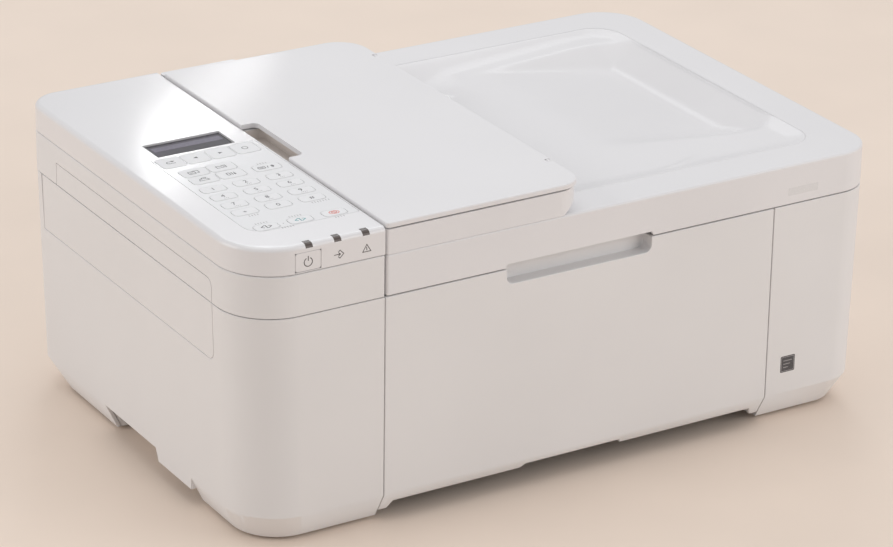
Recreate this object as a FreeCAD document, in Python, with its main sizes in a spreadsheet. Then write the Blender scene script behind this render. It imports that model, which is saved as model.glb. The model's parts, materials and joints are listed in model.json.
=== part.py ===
import FreeCAD, Part
import math
import os
import Sketcher

# Compact all-in-one inkjet printer with a document feeder on its lid.
# Millimetres. X runs across the width, the front faces -Y, Z is up, and the origin
# is on the surface that the feet stand on, under the middle of the case.

Vector = FreeCAD.Vector
Rotation = FreeCAD.Rotation

DIMENSIONS = {
    # overall case: outline at the feet, at the top of the bevel and at the body's top
    "case_half_width": 217.5,
    "front": -147.5,
    "case_back": 142,
    "skirt_half_width": 214.7,
    "skirt_back": 134,
    "sole_half_width": 206.5,
    "sole_front": -138,
    "sole_back": 118,
    "front_left_radius": 34,
    "front_right_radius": 25,
    "back_right_radius": 30,
    "back_left_radius": 20,
    "knee_left_radius": 17,
    "brow_left_radius": 27,
    "sole_radius_cut": 5,
    "foot_height": 2,
    "bevel_top": 19,
    "body_top": 144.2,
    "deck_top": 143.9,
    "tower_top": 169.8,
    "tower_neck": 150.2,
    "web_bottom": 146.2,
    "web_top": 148.2,
    "web_lap": 0.1,
    "tower_side_radius": 1.2,
    "panel_top": 187,
    "overall_height": 189,
    "wall": 2.5,
    "fit_gap": 0.4,
    "seam": 0.6,
    "pin_clearance": 0.05,
    "panel_gap": 0.6,
    "brow_round": 0.8,
    # lines that divide the front
    "left_split": -128,
    "right_split": 141.4,
    "rear_split": 190,
    "side_back_cut": 77,
    "heel_lap": 20,
    "column_depth": 25,
    "column_gap": 3,
    "floor_top": 5,
    # hand grips in the sides
    "grip_front": -72,
    "grip_back": 40,
    "grip_reach": 186,
    "tab_back": -27,
    "tab_bottom": 11.3,
    "tab_slant": 4,
    "tab_thick": 3.6,
    # shallow side panel
    "groove_depth": 0.8,
    "groove_width": 0.6,
    "inset_front": -107.6,
    "inset_back": 94,
    "inset_top": 158.7,
    "inset_bottom": 107.7,
    "inset_radius": 6,
    # operation panel and its base
    "panel_back": 137,
    "panel_round": 3,
    "panel_plate": 4,
    "film_left": -198.5,
    "film_front": -120,
    "film_back": 5.5,
    "film_thick": 0.5,
    "film_margin": 0.6,
    "film_edge_radius": 1,
    "film_back_radius": 2,
    "film_radius": 12,
    "key_radius": 2.6,
    "key_gap": 0.3,
    "key_height": 2.2,
    "key_proud": 0.2,
    "key_edge": 0.3,
    "key_well": 3,
    "lcd_left": -192,
    "lcd_right": -141,
    "lcd_front": 7.5,
    "lcd_back": 29,
    "lcd_depth": 2.2,
    "lcd_thick": 1,
    "lamp_width": 4.6,
    "lamp_back": -142.2,
    "lamp_first": -177,
    "lamp_pitch": 18.2,
    "lamp_depth": 2.4,
    "power_left": -185.8,
    "power_right": -169.7,
    "power_bottom": 171.2,
    "power_top": 182.3,
    "power_depth": 5,
    "power_radius": 1.6,
    # document cover
    "cover_left": -127.1,
    "cover_round": 1.5,
    "cover_gap": 0.6,
    "cover_back_step": 0.5,
    "cover_left_radius": 1.5,
    "notch_slant": 2,
    "cover_plate": 149.4,
    "cover_plate_thick": 1.6,
    "rim_left": 12,
    "rim_right": 190,
    "rim_front": -118,
    "rim_back": 112,
    "rim_radius": 16,
    "rim_floor": 165,
    "pocket_left": 40,
    "pocket_valley": 150,
    "pocket_toe": 178,
    "pocket_right": 187,
    "pocket_front": -78,
    "pocket_back": 90,
    "pocket_floor": 152,
    "rim_left_radius": 2,
    "hinge_y": 139.5,
    "hinge_z": 150,
    "hinge_boss": 4.5,
    "hinge_pin": 2,
    "hinge_left": -80,
    "hinge_right": 165,
    "hinge_lug": 20,
    "lug_front": 132,
    "lug_back": 138.9,
    "lug_root": 2,
    "hinge_slot": 24,
    "hinge_slot_front": 131,
    "hinge_slot_roof": 155.5,
    "back_gap_front": 133.5,
    "back_gap_roof": 146.5,
    "cheek_gap": 0.2,
    "cheek_thick": 3.8,
    "cheek_front": 135.5,
    "cheek_inset": 1.5,
    "cheek_bottom": 147,
    "cheek_pin": 3.5,
    "pad_gap": 1.1,
    "pad_inset": 2,
    "pad_radius": 3,
    # document feeder
    "feeder_right": 5,
    "feeder_back": 126,
    "feeder_top": 185,
    "feeder_corner": 17,
    "feeder_undercut": -10,
    "feeder_side_radius": 1.5,
    "feeder_back_radius": 12,
    "undercut_lip": 1.2,
    "undercut_slant": 3,
    "undercut_side": 4,
    "undercut_rise": 6,
    "undercut_brow": 2,
    "bay_left": -60,
    "bay_flat": -25,
    "bay_right": 0.5,
    "bay_half": 112,
    "bay_floor": 176.5,
    "bay_lip": 1,
    "roller_x": -78,
    "roller_z": 178,
    "roller_radius": 4.8,
    "roller_shaft": 2,
    "pick_shaft_front": -62,
    "pick_shaft_back": 52,
    "chamber_left": -92,
    "chamber_right": -58,
    "chamber_front": -106,
    "chamber_back": 98,
    "chamber_floor": 172,
    "chamber_roof": 183.4,
    "bearing_front": -60,
    "bearing_back": 45,
    "bearing_thick": 5,
    "bearing_half": 6,
    "bearing_foot": 171,
    "strip_right": -75,
    "strip_front": 127.8,
    "strip_back": 133.5,
    "strip_lap": 20,
    "strip_right_radius": 3,
    "strip_left_radius": 6,
    "ridge_radius": 2.5,
    "well_right": -112,
    "well_front": -33,
    "well_back": 26,
    "well_floor": 178,
    "well_radius": 4,
    # folding document tray
    "flap_left": -127.3,
    "flap_right": 5.5,
    "flap_back": 127,
    "flap_thick": 3,
    "flap_corner": 15,
    "flap_back_corner": 20,
    "flap_round": 0.8,
    "flap_pivot_x": 3.5,
    "flap_pivot_z": 187.6,
    "flap_pin": 0.6,
    "flap_tab": 1.3,
    "flap_tab_front": -110,
    "flap_tab_back": 92,
    "flap_tab_half": 1.5,
    "flap_tab_foot": 3,
    "flap_left_radius": 2,
    "flap_slot_half": 1.9,
    "flap_slot_reach": 2.1,
    "flap_pin_half": 4,
    "notch_right": -117,
    "guide_reach": 106,
    "guide_thick": 2,
    "guide_foot": 18,
    "guide_inset": 3,
    "guide_lift": 0.3,
    "guide_slack": 0.2,
    # front door
    "door_thick": 3,
    "door_bottom": 11.5,
    "door_bevel": 7.3,
    "door_foot": 6,
    "door_foot_width": 5.7,
    "door_slant": 2.7,
    "door_raised": 14.1,
    "raised_left": -29.5,
    "raised_right": 37,
    "door_pivot_y": -137.5,
    "door_pivot_z": 15,
    "door_boss": 4.4,
    "door_knuckle": 12,
    "door_gap": 0.1,
    "door_web_bottom": 15.5,
    "door_web_top": 23,
    "pan_front": -115,
    "scoop_left": -47,
    "scoop_right": 53,
    "scoop_bottom": 134.3,
    "scoop_back": -138.5,
    "scoop_radius": 4.5,
    "scoop_wall": 2.5,
    "scoop_back_wall": 2,
    "cover_notch": 147.2,
    # rear jam cover
    "rear_left": -105,
    "rear_right": 115,
    "rear_bottom": 22,
    "rear_top": 118,
    "rear_face": 147.5,
    "rear_inner": 131,
    "rear_pivot_y": 140,
    "rear_pivot_z": 26,
    "rear_opening_bottom": 21.5,
    "rear_opening_gap": 1,
    "rear_ear_front": 132,
    "rear_ear_back": 144.5,
    "rear_ear_bottom": 20,
    "rear_ear_top": 31,
    "rear_ear_gap": 1.5,
    "rear_ear_thick": 4.5,
    "rear_edge_radius": 4,
    "rear_pin_reach": 5,
    "rear_pin_root": 2,
    "rear_latch_half": 14,
    "rear_latch_drop": 9,
    "rear_latch_thick": 1.5,
    "rear_latch_inset": 0.2,
    "rear_rib_first": 20,
    "rear_rib_pitch": 34,
    "rear_rib_thick": 2,
    # scanner
    "glass_left": -119,
    "glass_right": 201,
    "glass_half": 111,
    "glass_thick": 1.9,
    "glass_ledge": 3,
    "deck_front": 13.5,
    "cap_front": 13,
    "tub_left": -125,
    "tub_right": 206,
    "tub_half": 122,
    "tub_bottom": 119.5,
    "rail_z": 125.5,
    "rail_radius": 3,
    "bar_left": -121.5,
    "bar_width": 17.5,
    "bar_half": 105,
    "bar_bottom": 128.9,
    "bar_top": 139.1,
    "shoe_half": 8,
    "shoe_bottom": 122.3,
    "shoe_top": 129.5,
    "lens_inset": 7,
    "lens_end": 8,
    "lens_floor": 137.9,
    # paper path and print unit
    "chassis_left": -126,
    "chassis_right": 205,
    "chassis_front": -45,
    "chassis_back": 63.5,
    "chassis_foot": 46,
    "chassis_bottom": 30,
    "chassis_top": 112,
    "sheet": 1.5,
    "chassis_foot_width": 12,
    "bed_front": -20,
    "bed_back": 22,
    "bed_bottom": 50,
    "bed_top": 53,
    "bracket_left": 169,
    "bracket_front": 34,
    "bracket_hole": 2,
    "beam_front": 30,
    "beam_thick": 3,
    "beam_bottom": 88,
    "beam_top": 104,
    "carriage_left": 130,
    "carriage_width": 60,
    "carriage_front": -28,
    "carriage_back": 29.4,
    "carriage_bottom": 62,
    "carriage_top": 108,
    "tank_well_width": 26.4,
    "tank_well_edge": 2.4,
    "tank_pitch": 28.8,
    "tank_well_back": 8,
    "tank_floor": 2,
    "tank_slack": 0.4,
    "tank_front": 2,
    "tank_drop": 4,
    "tank_radius": 2,
    "tank_grip_depth": 8,
    "tank_grip_height": 12,
    "nozzle_inset": 6,
    "nozzle_front": -12,
    "nozzle_back": 8,
    "nozzle_floor": 3,
    "hook_gap": 0.6,
    "hook_front": 33.8,
    "hook_back": 36.6,
    "hook_bottom": 92,
    "feed_y": 34,
    "feed_z": 47,
    "feed_radius": 7,
    "exit_y": -32,
    "exit_radius": 6,
    "axle_radius": 3,
    "axle_reach": 2,
    "exit_tyre": 8,
    "motor_x": 185,
    "motor_y": 48,
    "motor_radius": 13,
    "motor_bottom": 66,
    "motor_top": 90,
    "pulley_radius": 6,
    "pulley_rim": 0.6,
    "spindle_radius": 1.5,
    "spindle_bottom": 80,
    "motor_bore_bottom": 78,
    "post_slack": 0.6,
    "post_bottom": 90,
    "post_top": 99,
    "post_arm_half": 6,
    "post_arm_front": 44,
    "post_arm_bottom": 89,
    "belt_inner": 6.4,
    "belt_thick": 1.2,
    "belt_bottom": 93,
    "belt_top": 98,
    "belt_straight": 0.05,
    "idler_x": -110,
    "tray_z": 42,
    "tray_thick": 3,
    "paper_middle": 6.7,
    "paper_half": 108,
    "tray_front": 16,
    "tray_back_gap": 2,
    "tray_lip": 3,
    "tray_lip_height": 7,
    "thumb_half": 30,
    "thumb_front": 8,
    "thumb_back": 40,
    "thumb_radius": 14,
    "paper_fence": 2.5,
    "paper_foot": 22,
    "paper_foot_front": -100,
    "paper_foot_back": -66,
    "paper_fence_front": -118,
    "paper_fence_back": -56,
    "paper_foot_lift": 0.4,
    "paper_foot_thick": 2,
    "paper_fence_drop": 6,
    # electrics
    "board_left": 120,
    "board_right": 200,
    "board_front": 121,
    "board_thick": 1.6,
    "board_bottom": 20,
    "board_top": 110,
    "chip_thick": 2,
    "port_gap": 0.4,
    "port_wall_side": 1.4,
    "port_wall": 2,
    "port_depth": 9,
    "port_back": 135.4,
    "inlet_left": -165,
    "inlet_right": -140,
    "inlet_bottom": 31,
    "inlet_top": 47,
    "inlet_depth": 14,
    "inlet_mouth_depth": 11,
    "inlet_mouth_half": 8.8,
    "inlet_mouth_rise": 4.6,
    "inlet_mouth_radius": 4.4,
    "prong_radius": 1.2,
    "prong_length": 10,
    "prong_offset": 4.4,
    "supply_left": -202,
    "supply_right": -130,
    "supply_front": 62,
    "supply_back": 112,
    "supply_bottom": 12,
    "supply_top": 50,
    "supply_radius": 2,
    # feet and screws
    "foot_radius": 9,
    "foot_x": 178,
    "foot_front": -112,
    "foot_back": 100,
    "screw_head": 3,
    "screw_shank": 1.5,
    "screw_head_gap": 0.2,
    "screw_head_height": 1.4,
    "screw_bite": 6,
}

# name, centre x, centre y, width, depth of every key under the panel's film
KEY_COLUMNS = (-186.5, -165, -143.3)
KEY_ROWS = (-51, -64, -77.3, -89.5)
KEY_SIZE = (15.5, 8.5)
NUMBER_NAMES = (
    ("key_1", "key_2", "key_3"),
    ("key_4", "key_5", "key_6"),
    ("key_7", "key_8", "key_9"),
    ("key_tone", "key_0", "key_symbol"),
)
OTHER_KEYS = (
    ("key_back", -189.2, -3.2, 15.2, 15.2),
    ("key_left", -173, -3.2, 15.2, 15.2),
    ("key_right", -156.7, -3.2, 15.2, 15.2),
    ("key_ok", -140.4, -3.2, 15.2, 15.2),
    ("key_copy", -184.3, -23, 16.8, 11.4),
    ("key_scan", -166.5, -23, 16.8, 11.4),
    ("key_fax", -184.3, -35.2, 16.8, 11.4),
    ("key_setup", -166.5, -35.2, 16.8, 11.4),
    ("key_menu", -143.4, -36, 17, 9),
    ("key_start_black", -186.3, -114.7, 15, 8),
    ("key_start_color", -164.7, -114.7, 15, 8),
    ("key_stop", -142.9, -114.7, 15, 8),
)

PORTS = (("usb", 130, 142), ("line_jack", 149, 161), ("phone_jack", 165, 177))
PORT_OPENING = (41.6, 54.4)
SCREW_SPOTS = ((-150, -95), (150, -95), (-150, 90), (150, 90), (-60, 95), (60, 95))
PICK_TYRES = ((-34, -14), (4, 24))
FEED_TYRES = ((-105, 40), (-40, 36), (18, 36), (78, 40))
EXIT_TYRE_OFFSETS = (-96, -60, -24, 16, 52, 88)
REAR_RIBS = 6
LAMPS = 3
CHIPS = ((138, 70, 18), (166, 74, 12), (182, 30, 9))

# how far a cutting tool reaches past the surface, and how far joined pieces run into each other
OVER = 5
BITE = 1

doc = FreeCAD.newDocument("InkjetPrinter")


class Size:
    """A length that knows both its number and the sheet expression behind it."""

    def __init__(self, text, value):
        self.text = text
        self.value = value

    def __add__(self, other):
        other = as_size(other)
        return Size(f"({self.text} + {other.text})", self.value + other.value)

    def __sub__(self, other):
        other = as_size(other)
        return Size(f"({self.text} - {other.text})", self.value - other.value)

    def __mul__(self, number):
        return Size(f"({self.text} * {number})", self.value * number)

    def __truediv__(self, number):
        return Size(f"({self.text} / {number})", self.value / number)

    def __neg__(self):
        return Size(f"(-{self.text})", -self.value)

    __radd__ = __add__

    def __rsub__(self, other):
        return as_size(other) - self


def as_size(number):
    return number if isinstance(number, Size) else Size(f"({number})", number)


class Dimensions:
    """The driving sheet, with each alias as an attribute."""

    def __init__(self, values):
        sheet = doc.addObject("Spreadsheet::Sheet", "Dims")
        for row, (alias, number) in enumerate(values.items(), start=1):
            sheet.set(f"A{row}", alias.replace("_", " "))
            sheet.set(f"B{row}", str(number))
            sheet.setAlias(f"B{row}", alias)
            setattr(self, alias, Size(f"Dims.{alias}", number))
        doc.recompute()


d = Dimensions(DIMENSIONS)


def bind(item, prop, size):
    """Tie one property to the sheet."""
    item.setExpression(prop, as_size(size).text)


def bind_base(item, x, y, z):
    for letter, size in zip("xyz", (x, y, z)):
        bind(item, f".Placement.Base.{letter}", size)


def block(name, x, y, z):
    """A box between pairs of coordinates."""
    box = doc.addObject("Part::Box", name)
    for prop, (low, high) in zip(("Length", "Width", "Height"), (x, y, z)):
        bind(box, prop, as_size(high) - as_size(low))
    bind_base(box, x[0], y[0], z[0])
    return box


UPRIGHT_BOX_EDGES = (1, 3, 5, 7)


def rounded_block(name, x, y, z, radius):
    """A box whose four upright edges are rounded."""
    box = block(f"{name}_box", x, y, z)
    return fillet(name, box, radius, UPRIGHT_BOX_EDGES)


AXIS_TURN = {
    "x": Rotation(Vector(0, 1, 0), 90),
    "y": Rotation(Vector(1, 0, 0), -90),
    "z": Rotation(),
}


def rod(name, axis, radius, span, across):
    """A cylinder along one axis; across gives its place on the other two axes."""
    cylinder = doc.addObject("Part::Cylinder", name)
    start = {"x": (span[0], *across), "y": (across[0], span[0], across[1]), "z": (*across, span[0])}
    cylinder.Placement = FreeCAD.Placement(Vector(), AXIS_TURN[axis])
    bind(cylinder, "Radius", radius)
    bind(cylinder, "Height", as_size(span[1]) - as_size(span[0]))
    bind_base(cylinder, *start[axis])
    return cylinder


def cut(name, base, *tools):
    result = doc.addObject("Part::Cut", name)
    result.Base = base
    result.Tool = tools[0] if len(tools) == 1 else fuse(f"{name}_tools", *tools)
    return result


def fuse(name, *shapes):
    result = doc.addObject("Part::MultiFuse", name)
    result.Shapes = list(shapes)
    return result


def common(name, *shapes):
    result = doc.addObject("Part::MultiCommon", name)
    result.Shapes = list(shapes)
    return result


def fillet(name, base, radius, edges):
    rounded = doc.addObject("Part::Fillet", name)
    rounded.Base = base
    rounded.Edges = [(number, radius.value, radius.value) for number in edges]
    return rounded


def near(first, second):
    return abs(first - second) < 0.01


def edges_where(base, test):
    """Numbers of the edges whose bounding box passes a test."""
    doc.recompute()
    return [number for number, edge in enumerate(base.Shape.Edges, start=1) if test(edge.BoundBox)]


def round_top(name, base, height, radius):
    """Rounds every edge that lies wholly at one height."""
    top = edges_where(base, lambda box: near(box.ZMin, height.value) and near(box.ZMax, height.value))
    return fillet(name, base, radius, top)


def depth_edges(item):
    """Numbers of the edges that run along Y."""
    return edges_where(item, lambda box: box.YLength > 1 and near(box.XLength, 0) and near(box.ZLength, 0))


def plane_of(body, role):
    return next(item for item in body.Origin.OriginFeatures if item.Role == role)


def attach(body, sketch, role, offset):
    sketch.AttachmentSupport = [(plane_of(body, role), "")]
    sketch.MapMode = "FlatFace"
    bind(sketch, ".AttachmentOffset.Base.z", offset)


def limit(sketch, kind, *references, size):
    """Add one dimension to a sketch and tie it to the sheet."""
    size = as_size(size)
    index = sketch.addConstraint(Sketcher.Constraint(kind, *references, size.value))
    sketch.setExpression(f"Constraints[{index}]", size.text)


def outline(body, name, x, y, radii, height):
    """A rectangle with four rounded corners: front left, front right, back right, back left."""
    sketch = body.newObject("Sketcher::SketchObject", name)
    attach(body, sketch, "XY_Plane", height)
    left, right = (as_size(size) for size in x)
    front, back = (as_size(size) for size in y)
    corners = ((left, front, 1, 1), (right, front, -1, 1), (right, back, -1, -1), (left, back, 1, -1))
    quarter = math.pi / 2
    for index, (corner_x, corner_y, inward_x, inward_y) in enumerate(corners):
        radius = radii[index].value
        centre = Vector(corner_x.value + inward_x * radius, corner_y.value + inward_y * radius, 0)
        circle = Part.Circle(centre, Vector(0, 0, 1), radius)
        start = quarter * (index + 2)
        sketch.addGeometry(Part.ArcOfCircle(circle, start, start + quarter), False)
    for index in range(4):
        tail = sketch.Geometry[index].EndPoint
        head = sketch.Geometry[(index + 1) % 4].StartPoint
        sketch.addGeometry(Part.LineSegment(tail, head), False)
    for index in range(4):
        line = index + 4
        sketch.addConstraint(Sketcher.Constraint("Tangent", index, 2, line, 1))
        sketch.addConstraint(Sketcher.Constraint("Tangent", line, 2, (index + 1) % 4, 1))
        sketch.addConstraint(Sketcher.Constraint("Horizontal" if index % 2 == 0 else "Vertical", line))
        limit(sketch, "Radius", index, size=radii[index])
    sides = (("DistanceY", front), ("DistanceX", right), ("DistanceY", back), ("DistanceX", left))
    for index, (kind, size) in enumerate(sides):
        limit(sketch, kind, -1, 1, index + 4, 1, size=size)
    return sketch


def slab(name, x, y, z, radii):
    """A padded outline with its own corner radii."""
    body = doc.addObject("PartDesign::Body", name)
    sketch = outline(body, f"{name}_outline", x, y, radii, z[0])
    pad = body.newObject("PartDesign::Pad", f"{name}_pad")
    pad.Profile = sketch
    bind(pad, "Length", as_size(z[1]) - as_size(z[0]))
    return body


def prism(name, role, points, span):
    """A polygon, given on one origin plane, padded between two offsets.

    On XZ_Plane a point is (x, z) and the span runs along -Y; on YZ_Plane it is
    (y, z) and the span runs along +X.
    """
    body = doc.addObject("PartDesign::Body", name)
    sketch = body.newObject("Sketcher::SketchObject", f"{name}_outline")
    attach(body, sketch, role, span[0])
    points = [(as_size(across), as_size(up)) for across, up in points]
    for index, (across, up) in enumerate(points):
        next_across, next_up = points[(index + 1) % len(points)]
        start = Vector(across.value, up.value, 0)
        sketch.addGeometry(Part.LineSegment(start, Vector(next_across.value, next_up.value, 0)), False)
    for index, (across, up) in enumerate(points):
        sketch.addConstraint(Sketcher.Constraint("Coincident", index, 2, (index + 1) % len(points), 1))
        limit(sketch, "DistanceX", -1, 1, index, 1, size=across)
        limit(sketch, "DistanceY", -1, 1, index, 1, size=up)
    pad = body.newObject("PartDesign::Pad", f"{name}_pad")
    pad.Profile = sketch
    bind(pad, "Length", as_size(span[1]) - as_size(span[0]))
    return body


PARTS = []


def part(label, item):
    """Register a finished piece under the name that its file takes."""
    item.Label = label
    PARTS.append(item)
    return item


def envelope(name, inset):
    """The case's outer form, drawn in by an inset: bevelled sole, sloping walls, straight top."""
    body = doc.addObject("PartDesign::Body", name)
    inset = as_size(inset)

    corners = (d.front_left_radius, d.front_right_radius, d.back_right_radius)

    def ring(tag, half_width, front, back, back_left, tighter, height):
        radii = [radius - inset - tighter for radius in (*corners, back_left)]
        x = (inset - half_width, half_width - inset)
        y = (front + inset, back - inset)
        return outline(body, f"{name}_{tag}", x, y, radii, height)

    sole = ring("sole", d.sole_half_width, d.sole_front, d.sole_back, d.back_left_radius,
                d.sole_radius_cut, d.foot_height)
    knee = ring("knee", d.skirt_half_width, d.front, d.skirt_back, d.knee_left_radius, 0, d.bevel_top)
    brow = ring("brow", d.case_half_width, d.front, d.case_back, d.brow_left_radius, 0, d.body_top)
    for tag, low, high in (("bevel", sole, knee), ("walls", knee, brow)):
        loft = body.newObject("PartDesign::AdditiveLoft", f"{name}_{tag}")
        loft.Profile = low
        loft.Sections = [high]
        loft.Ruled = True
    return body


def everywhere(low, high):
    """A block that spans the whole case in X and Y between two heights."""
    x = (-d.case_half_width - OVER, d.case_half_width + OVER)
    return x, (d.front - OVER, d.rear_face + OVER), (low, high)


def make_shell():
    outer = envelope("Outer", 0)
    inner = envelope("Inner", d.wall)
    return outer, cut("Shell", outer, inner)


OUTER, SHELL = make_shell()


def column_wall(side, x):
    bottom = d.floor_top + d.fit_gap
    span = fuse(f"{side}_column_span",
                block(f"{side}_column_front", x, (d.front - OVER, d.front + d.column_depth),
                      (bottom, d.deck_top - d.wall - d.fit_gap)),
                block(f"{side}_column_inside", x, (d.front - OVER, d.chassis_front - d.column_gap),
                      (bottom, d.tub_bottom - d.fit_gap)))
    return common(f"{side}_column_wall", OUTER, span)


def door_bore(side, wall_x):
    """The bore in a column's inner wall that one door pin turns in."""
    return rod(f"{side}_door_bore", "x", d.hinge_pin + d.pin_clearance,
               (wall_x[0] - BITE, wall_x[1] + BITE), (d.door_pivot_y, d.door_pivot_z))


def in_order(first, second):
    return (first, second) if first.value < second.value else (second, first)


def grip(side, sign):
    """The hand grip under one side: the cut through the bevel and the tab left in its front half."""
    wide = in_order((d.case_half_width + OVER) * sign, d.grip_reach * sign)
    hollow = block(f"{side}_grip", wide, (d.grip_front, d.grip_back), (-OVER, d.bevel_top))
    tab_x = in_order(d.skirt_half_width * sign, (d.skirt_half_width - d.tab_thick) * sign)
    top = d.bevel_top + BITE
    profile = ((d.grip_front - BITE, top), (d.grip_front - BITE, d.tab_bottom),
               (d.tab_back - d.tab_slant, d.tab_bottom), (d.tab_back, top))
    return hollow, prism(f"{side}_tab", "YZ_Plane", profile, tab_x)


def side_groove(name, span, back, corner, depth):
    """The tool for the groove round the panel in the left side, with one round corner at its front.

    The groove runs along the front, the back and the one edge that the round corner belongs to.
    """
    face = -d.case_half_width
    wide = (face - OVER, face + depth)
    outer = rounded_corner(f"{name}_outer", wide, (d.inset_front, back), span, corner, d.inset_radius)
    shift = d.groove_width if near(corner.value, span[0].value) else -d.groove_width
    low, high = (edge + shift if near(edge.value, corner.value) else edge for edge in span)
    inner = rounded_corner(f"{name}_inner", (wide[0] - BITE, wide[1] + BITE),
                           (d.inset_front + d.groove_width, back - d.groove_width), (low, high),
                           corner + shift, d.inset_radius - d.groove_width)
    return cut(f"{name}_tool", outer, inner)


def rounded_corner(name, x, y, z, corner, radius):
    """A box whose front edge at one height is rounded."""
    box = block(f"{name}_box", x, y, z)
    found = edges_where(box, lambda edge: near(edge.YMax, y[0].value)
                        and near(edge.ZMax, corner.value) and near(edge.ZMin, corner.value))
    return fillet(name, box, radius, found)


def make_left_cover():
    region = block("left_region", (-d.case_half_width - OVER, d.left_split - d.seam / 2),
                   (d.front - OVER, d.rear_face), (d.foot_height, d.deck_top))
    back = block("left_back_cut", (-d.rear_split, d.left_split + OVER), (d.side_back_cut, d.rear_face + OVER),
                 (0, d.body_top + OVER))
    wall_x = (d.left_split - d.seam / 2 - d.wall, d.left_split - d.seam / 2)
    hollow, tab = grip("left", -1)
    skin = cut("left_skin", common("left_part", SHELL, region), back, hollow)
    ring = side_groove("left_ring", (d.inset_bottom, d.body_top + OVER), d.case_back - d.brow_left_radius,
                       d.inset_bottom, d.wall)
    groove = cut("left_groove", ring, envelope("GrooveFace", d.groove_depth))
    wall = cut("left_column", column_wall("left", wall_x), door_bore("left", wall_x))
    whole = fuse("left_whole", skin, tab, wall)
    return part("left_side_cover", cut("LeftSideCover", whole, groove))


def make_right_cover():
    region = block("right_region", (d.right_split + d.seam / 2, d.case_half_width + OVER),
                   (d.front - OVER, d.rear_face), (d.foot_height, d.deck_top))
    back = block("right_back_cut", (d.right_split - OVER, d.rear_split),
                 (d.side_back_cut, d.rear_face + OVER), (0, d.body_top + OVER))
    wall_x = (d.right_split + d.seam / 2, d.right_split + d.seam / 2 + d.wall)
    hollow, tab = grip("right", 1)
    skin = cut("right_skin", common("right_part", SHELL, region), back, hollow)
    lid_x = (wall_x[0], d.case_half_width + OVER)
    lid = block("right_cap_box", lid_x, (d.front - OVER, d.front + d.cap_front),
                (d.deck_top - d.wall, d.deck_top))
    cap = common("right_cap", OUTER, lid)
    wall = cut("right_column", column_wall("right", wall_x), door_bore("right", wall_x))
    return part("right_side_cover", fuse("RightSideCover", skin, tab, wall, cap))


def ears(name, x, y, z, bore_at):
    """A hinge ear with its bore across it."""
    body = block(f"{name}_block", x, y, z)
    bore = rod(f"{name}_bore", "x", d.hinge_pin + d.pin_clearance, (x[0] - BITE, x[1] + BITE), bore_at)
    return cut(name, body, bore)


def make_base_case():
    inner = envelope("Pan", d.wall + d.fit_gap)
    floor = common("floor", inner, block("floor_span", *everywhere(d.foot_height, d.floor_top)))
    heel_x = (-d.rear_split + d.seam / 2, d.rear_split - d.seam / 2)
    heel = common("heel", OUTER, block("heel_span", heel_x, (d.sole_back - d.heel_lap, d.rear_face),
                                       (d.foot_height, d.floor_top)))
    back = block("rear_wall_span", (-d.rear_split + d.seam / 2, d.rear_split - d.seam / 2),
                 (d.skirt_back - d.heel_lap, d.rear_face + OVER), (d.foot_height, d.deck_top))
    wall = common("rear_wall", SHELL, back)
    behind = (d.board_front + BITE, d.rear_face + OVER)
    openings = [
        block("rear_opening", (d.rear_left - d.rear_opening_gap, d.rear_right + d.rear_opening_gap), behind,
              (d.rear_opening_bottom, d.rear_top + d.rear_opening_gap)),
        block("inlet_opening", (d.inlet_left - d.fit_gap, d.inlet_right + d.fit_gap), behind,
              (d.inlet_bottom - d.fit_gap, d.inlet_top + d.fit_gap)),
    ]
    for name, left, right in PORTS:
        span = (-d.fit_gap + left, d.fit_gap + right)
        openings.append(block(f"{name}_opening", span, behind, PORT_OPENING))
    rear_pivot = (d.rear_pivot_y, d.rear_pivot_z)
    rear_ear = (d.rear_ear_front, d.rear_ear_back), (d.rear_ear_bottom, d.rear_ear_top)
    ear_left = d.rear_left - d.rear_ear_gap
    ear_right = d.rear_right + d.rear_ear_gap
    lugs = [
        ears("rear_ear_left", (ear_left - d.rear_ear_thick, ear_left), *rear_ear, rear_pivot),
        ears("rear_ear_right", (ear_right, ear_right + d.rear_ear_thick), *rear_ear, rear_pivot),
    ]
    pierced = cut("rear_wall_pierced", wall, *openings)
    holes = [rod(f"screw_hole_{index}", "z", d.screw_shank, (0, d.floor_top + BITE), spot)
             for index, spot in enumerate(SCREW_SPOTS)]
    sink_z = (0, d.foot_height + d.screw_head_gap + d.screw_head_height)
    sinks = [rod(f"screw_sink_{index}", "z", d.screw_head + d.fit_gap, sink_z, spot)
             for index, spot in enumerate(SCREW_SPOTS)]
    mouth = block("pan_mouth", (d.left_split - d.seam / 2, d.right_split + d.seam / 2),
                  (d.front - OVER, d.pan_front), (0, d.floor_top + OVER))
    hollows = [block(f"{side}_pan_grip", in_order((d.case_half_width + OVER) * sign, d.grip_reach * sign),
                     (d.grip_front, d.grip_back), (0, d.floor_top + OVER))
               for side, sign in (("left", -1), ("right", 1))]
    pan = cut("pan", floor, mouth, *hollows, *holes, *sinks)
    wells = [grip_well("left", -1), grip_well("right", 1)]
    return part("base_case", fuse("BaseCase", pan, heel, pierced, *lugs, *wells))


def grip_well(side, sign):
    """The box that lines a hand grip, open to the outside and to the ground."""
    outside = (d.skirt_half_width - d.tab_thick - d.fit_gap) * sign
    well_x = in_order(outside, (d.grip_reach - d.wall) * sign)
    hollow_x = in_order((d.case_half_width + OVER) * sign, d.grip_reach * sign)
    solid = block(f"{side}_well_box", well_x, (d.grip_front - d.wall, d.grip_back + d.wall),
                  (d.foot_height, d.bevel_top + d.wall))
    hollow = block(f"{side}_well_hollow", hollow_x, (d.grip_front, d.grip_back),
                   (0, d.bevel_top + d.fit_gap))
    trimmed = common(f"{side}_well_trimmed", solid, envelope(f"{side.title()}WellLimit", d.wall + d.fit_gap))
    return cut(f"{side}_grip_well", trimmed, hollow)


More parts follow.
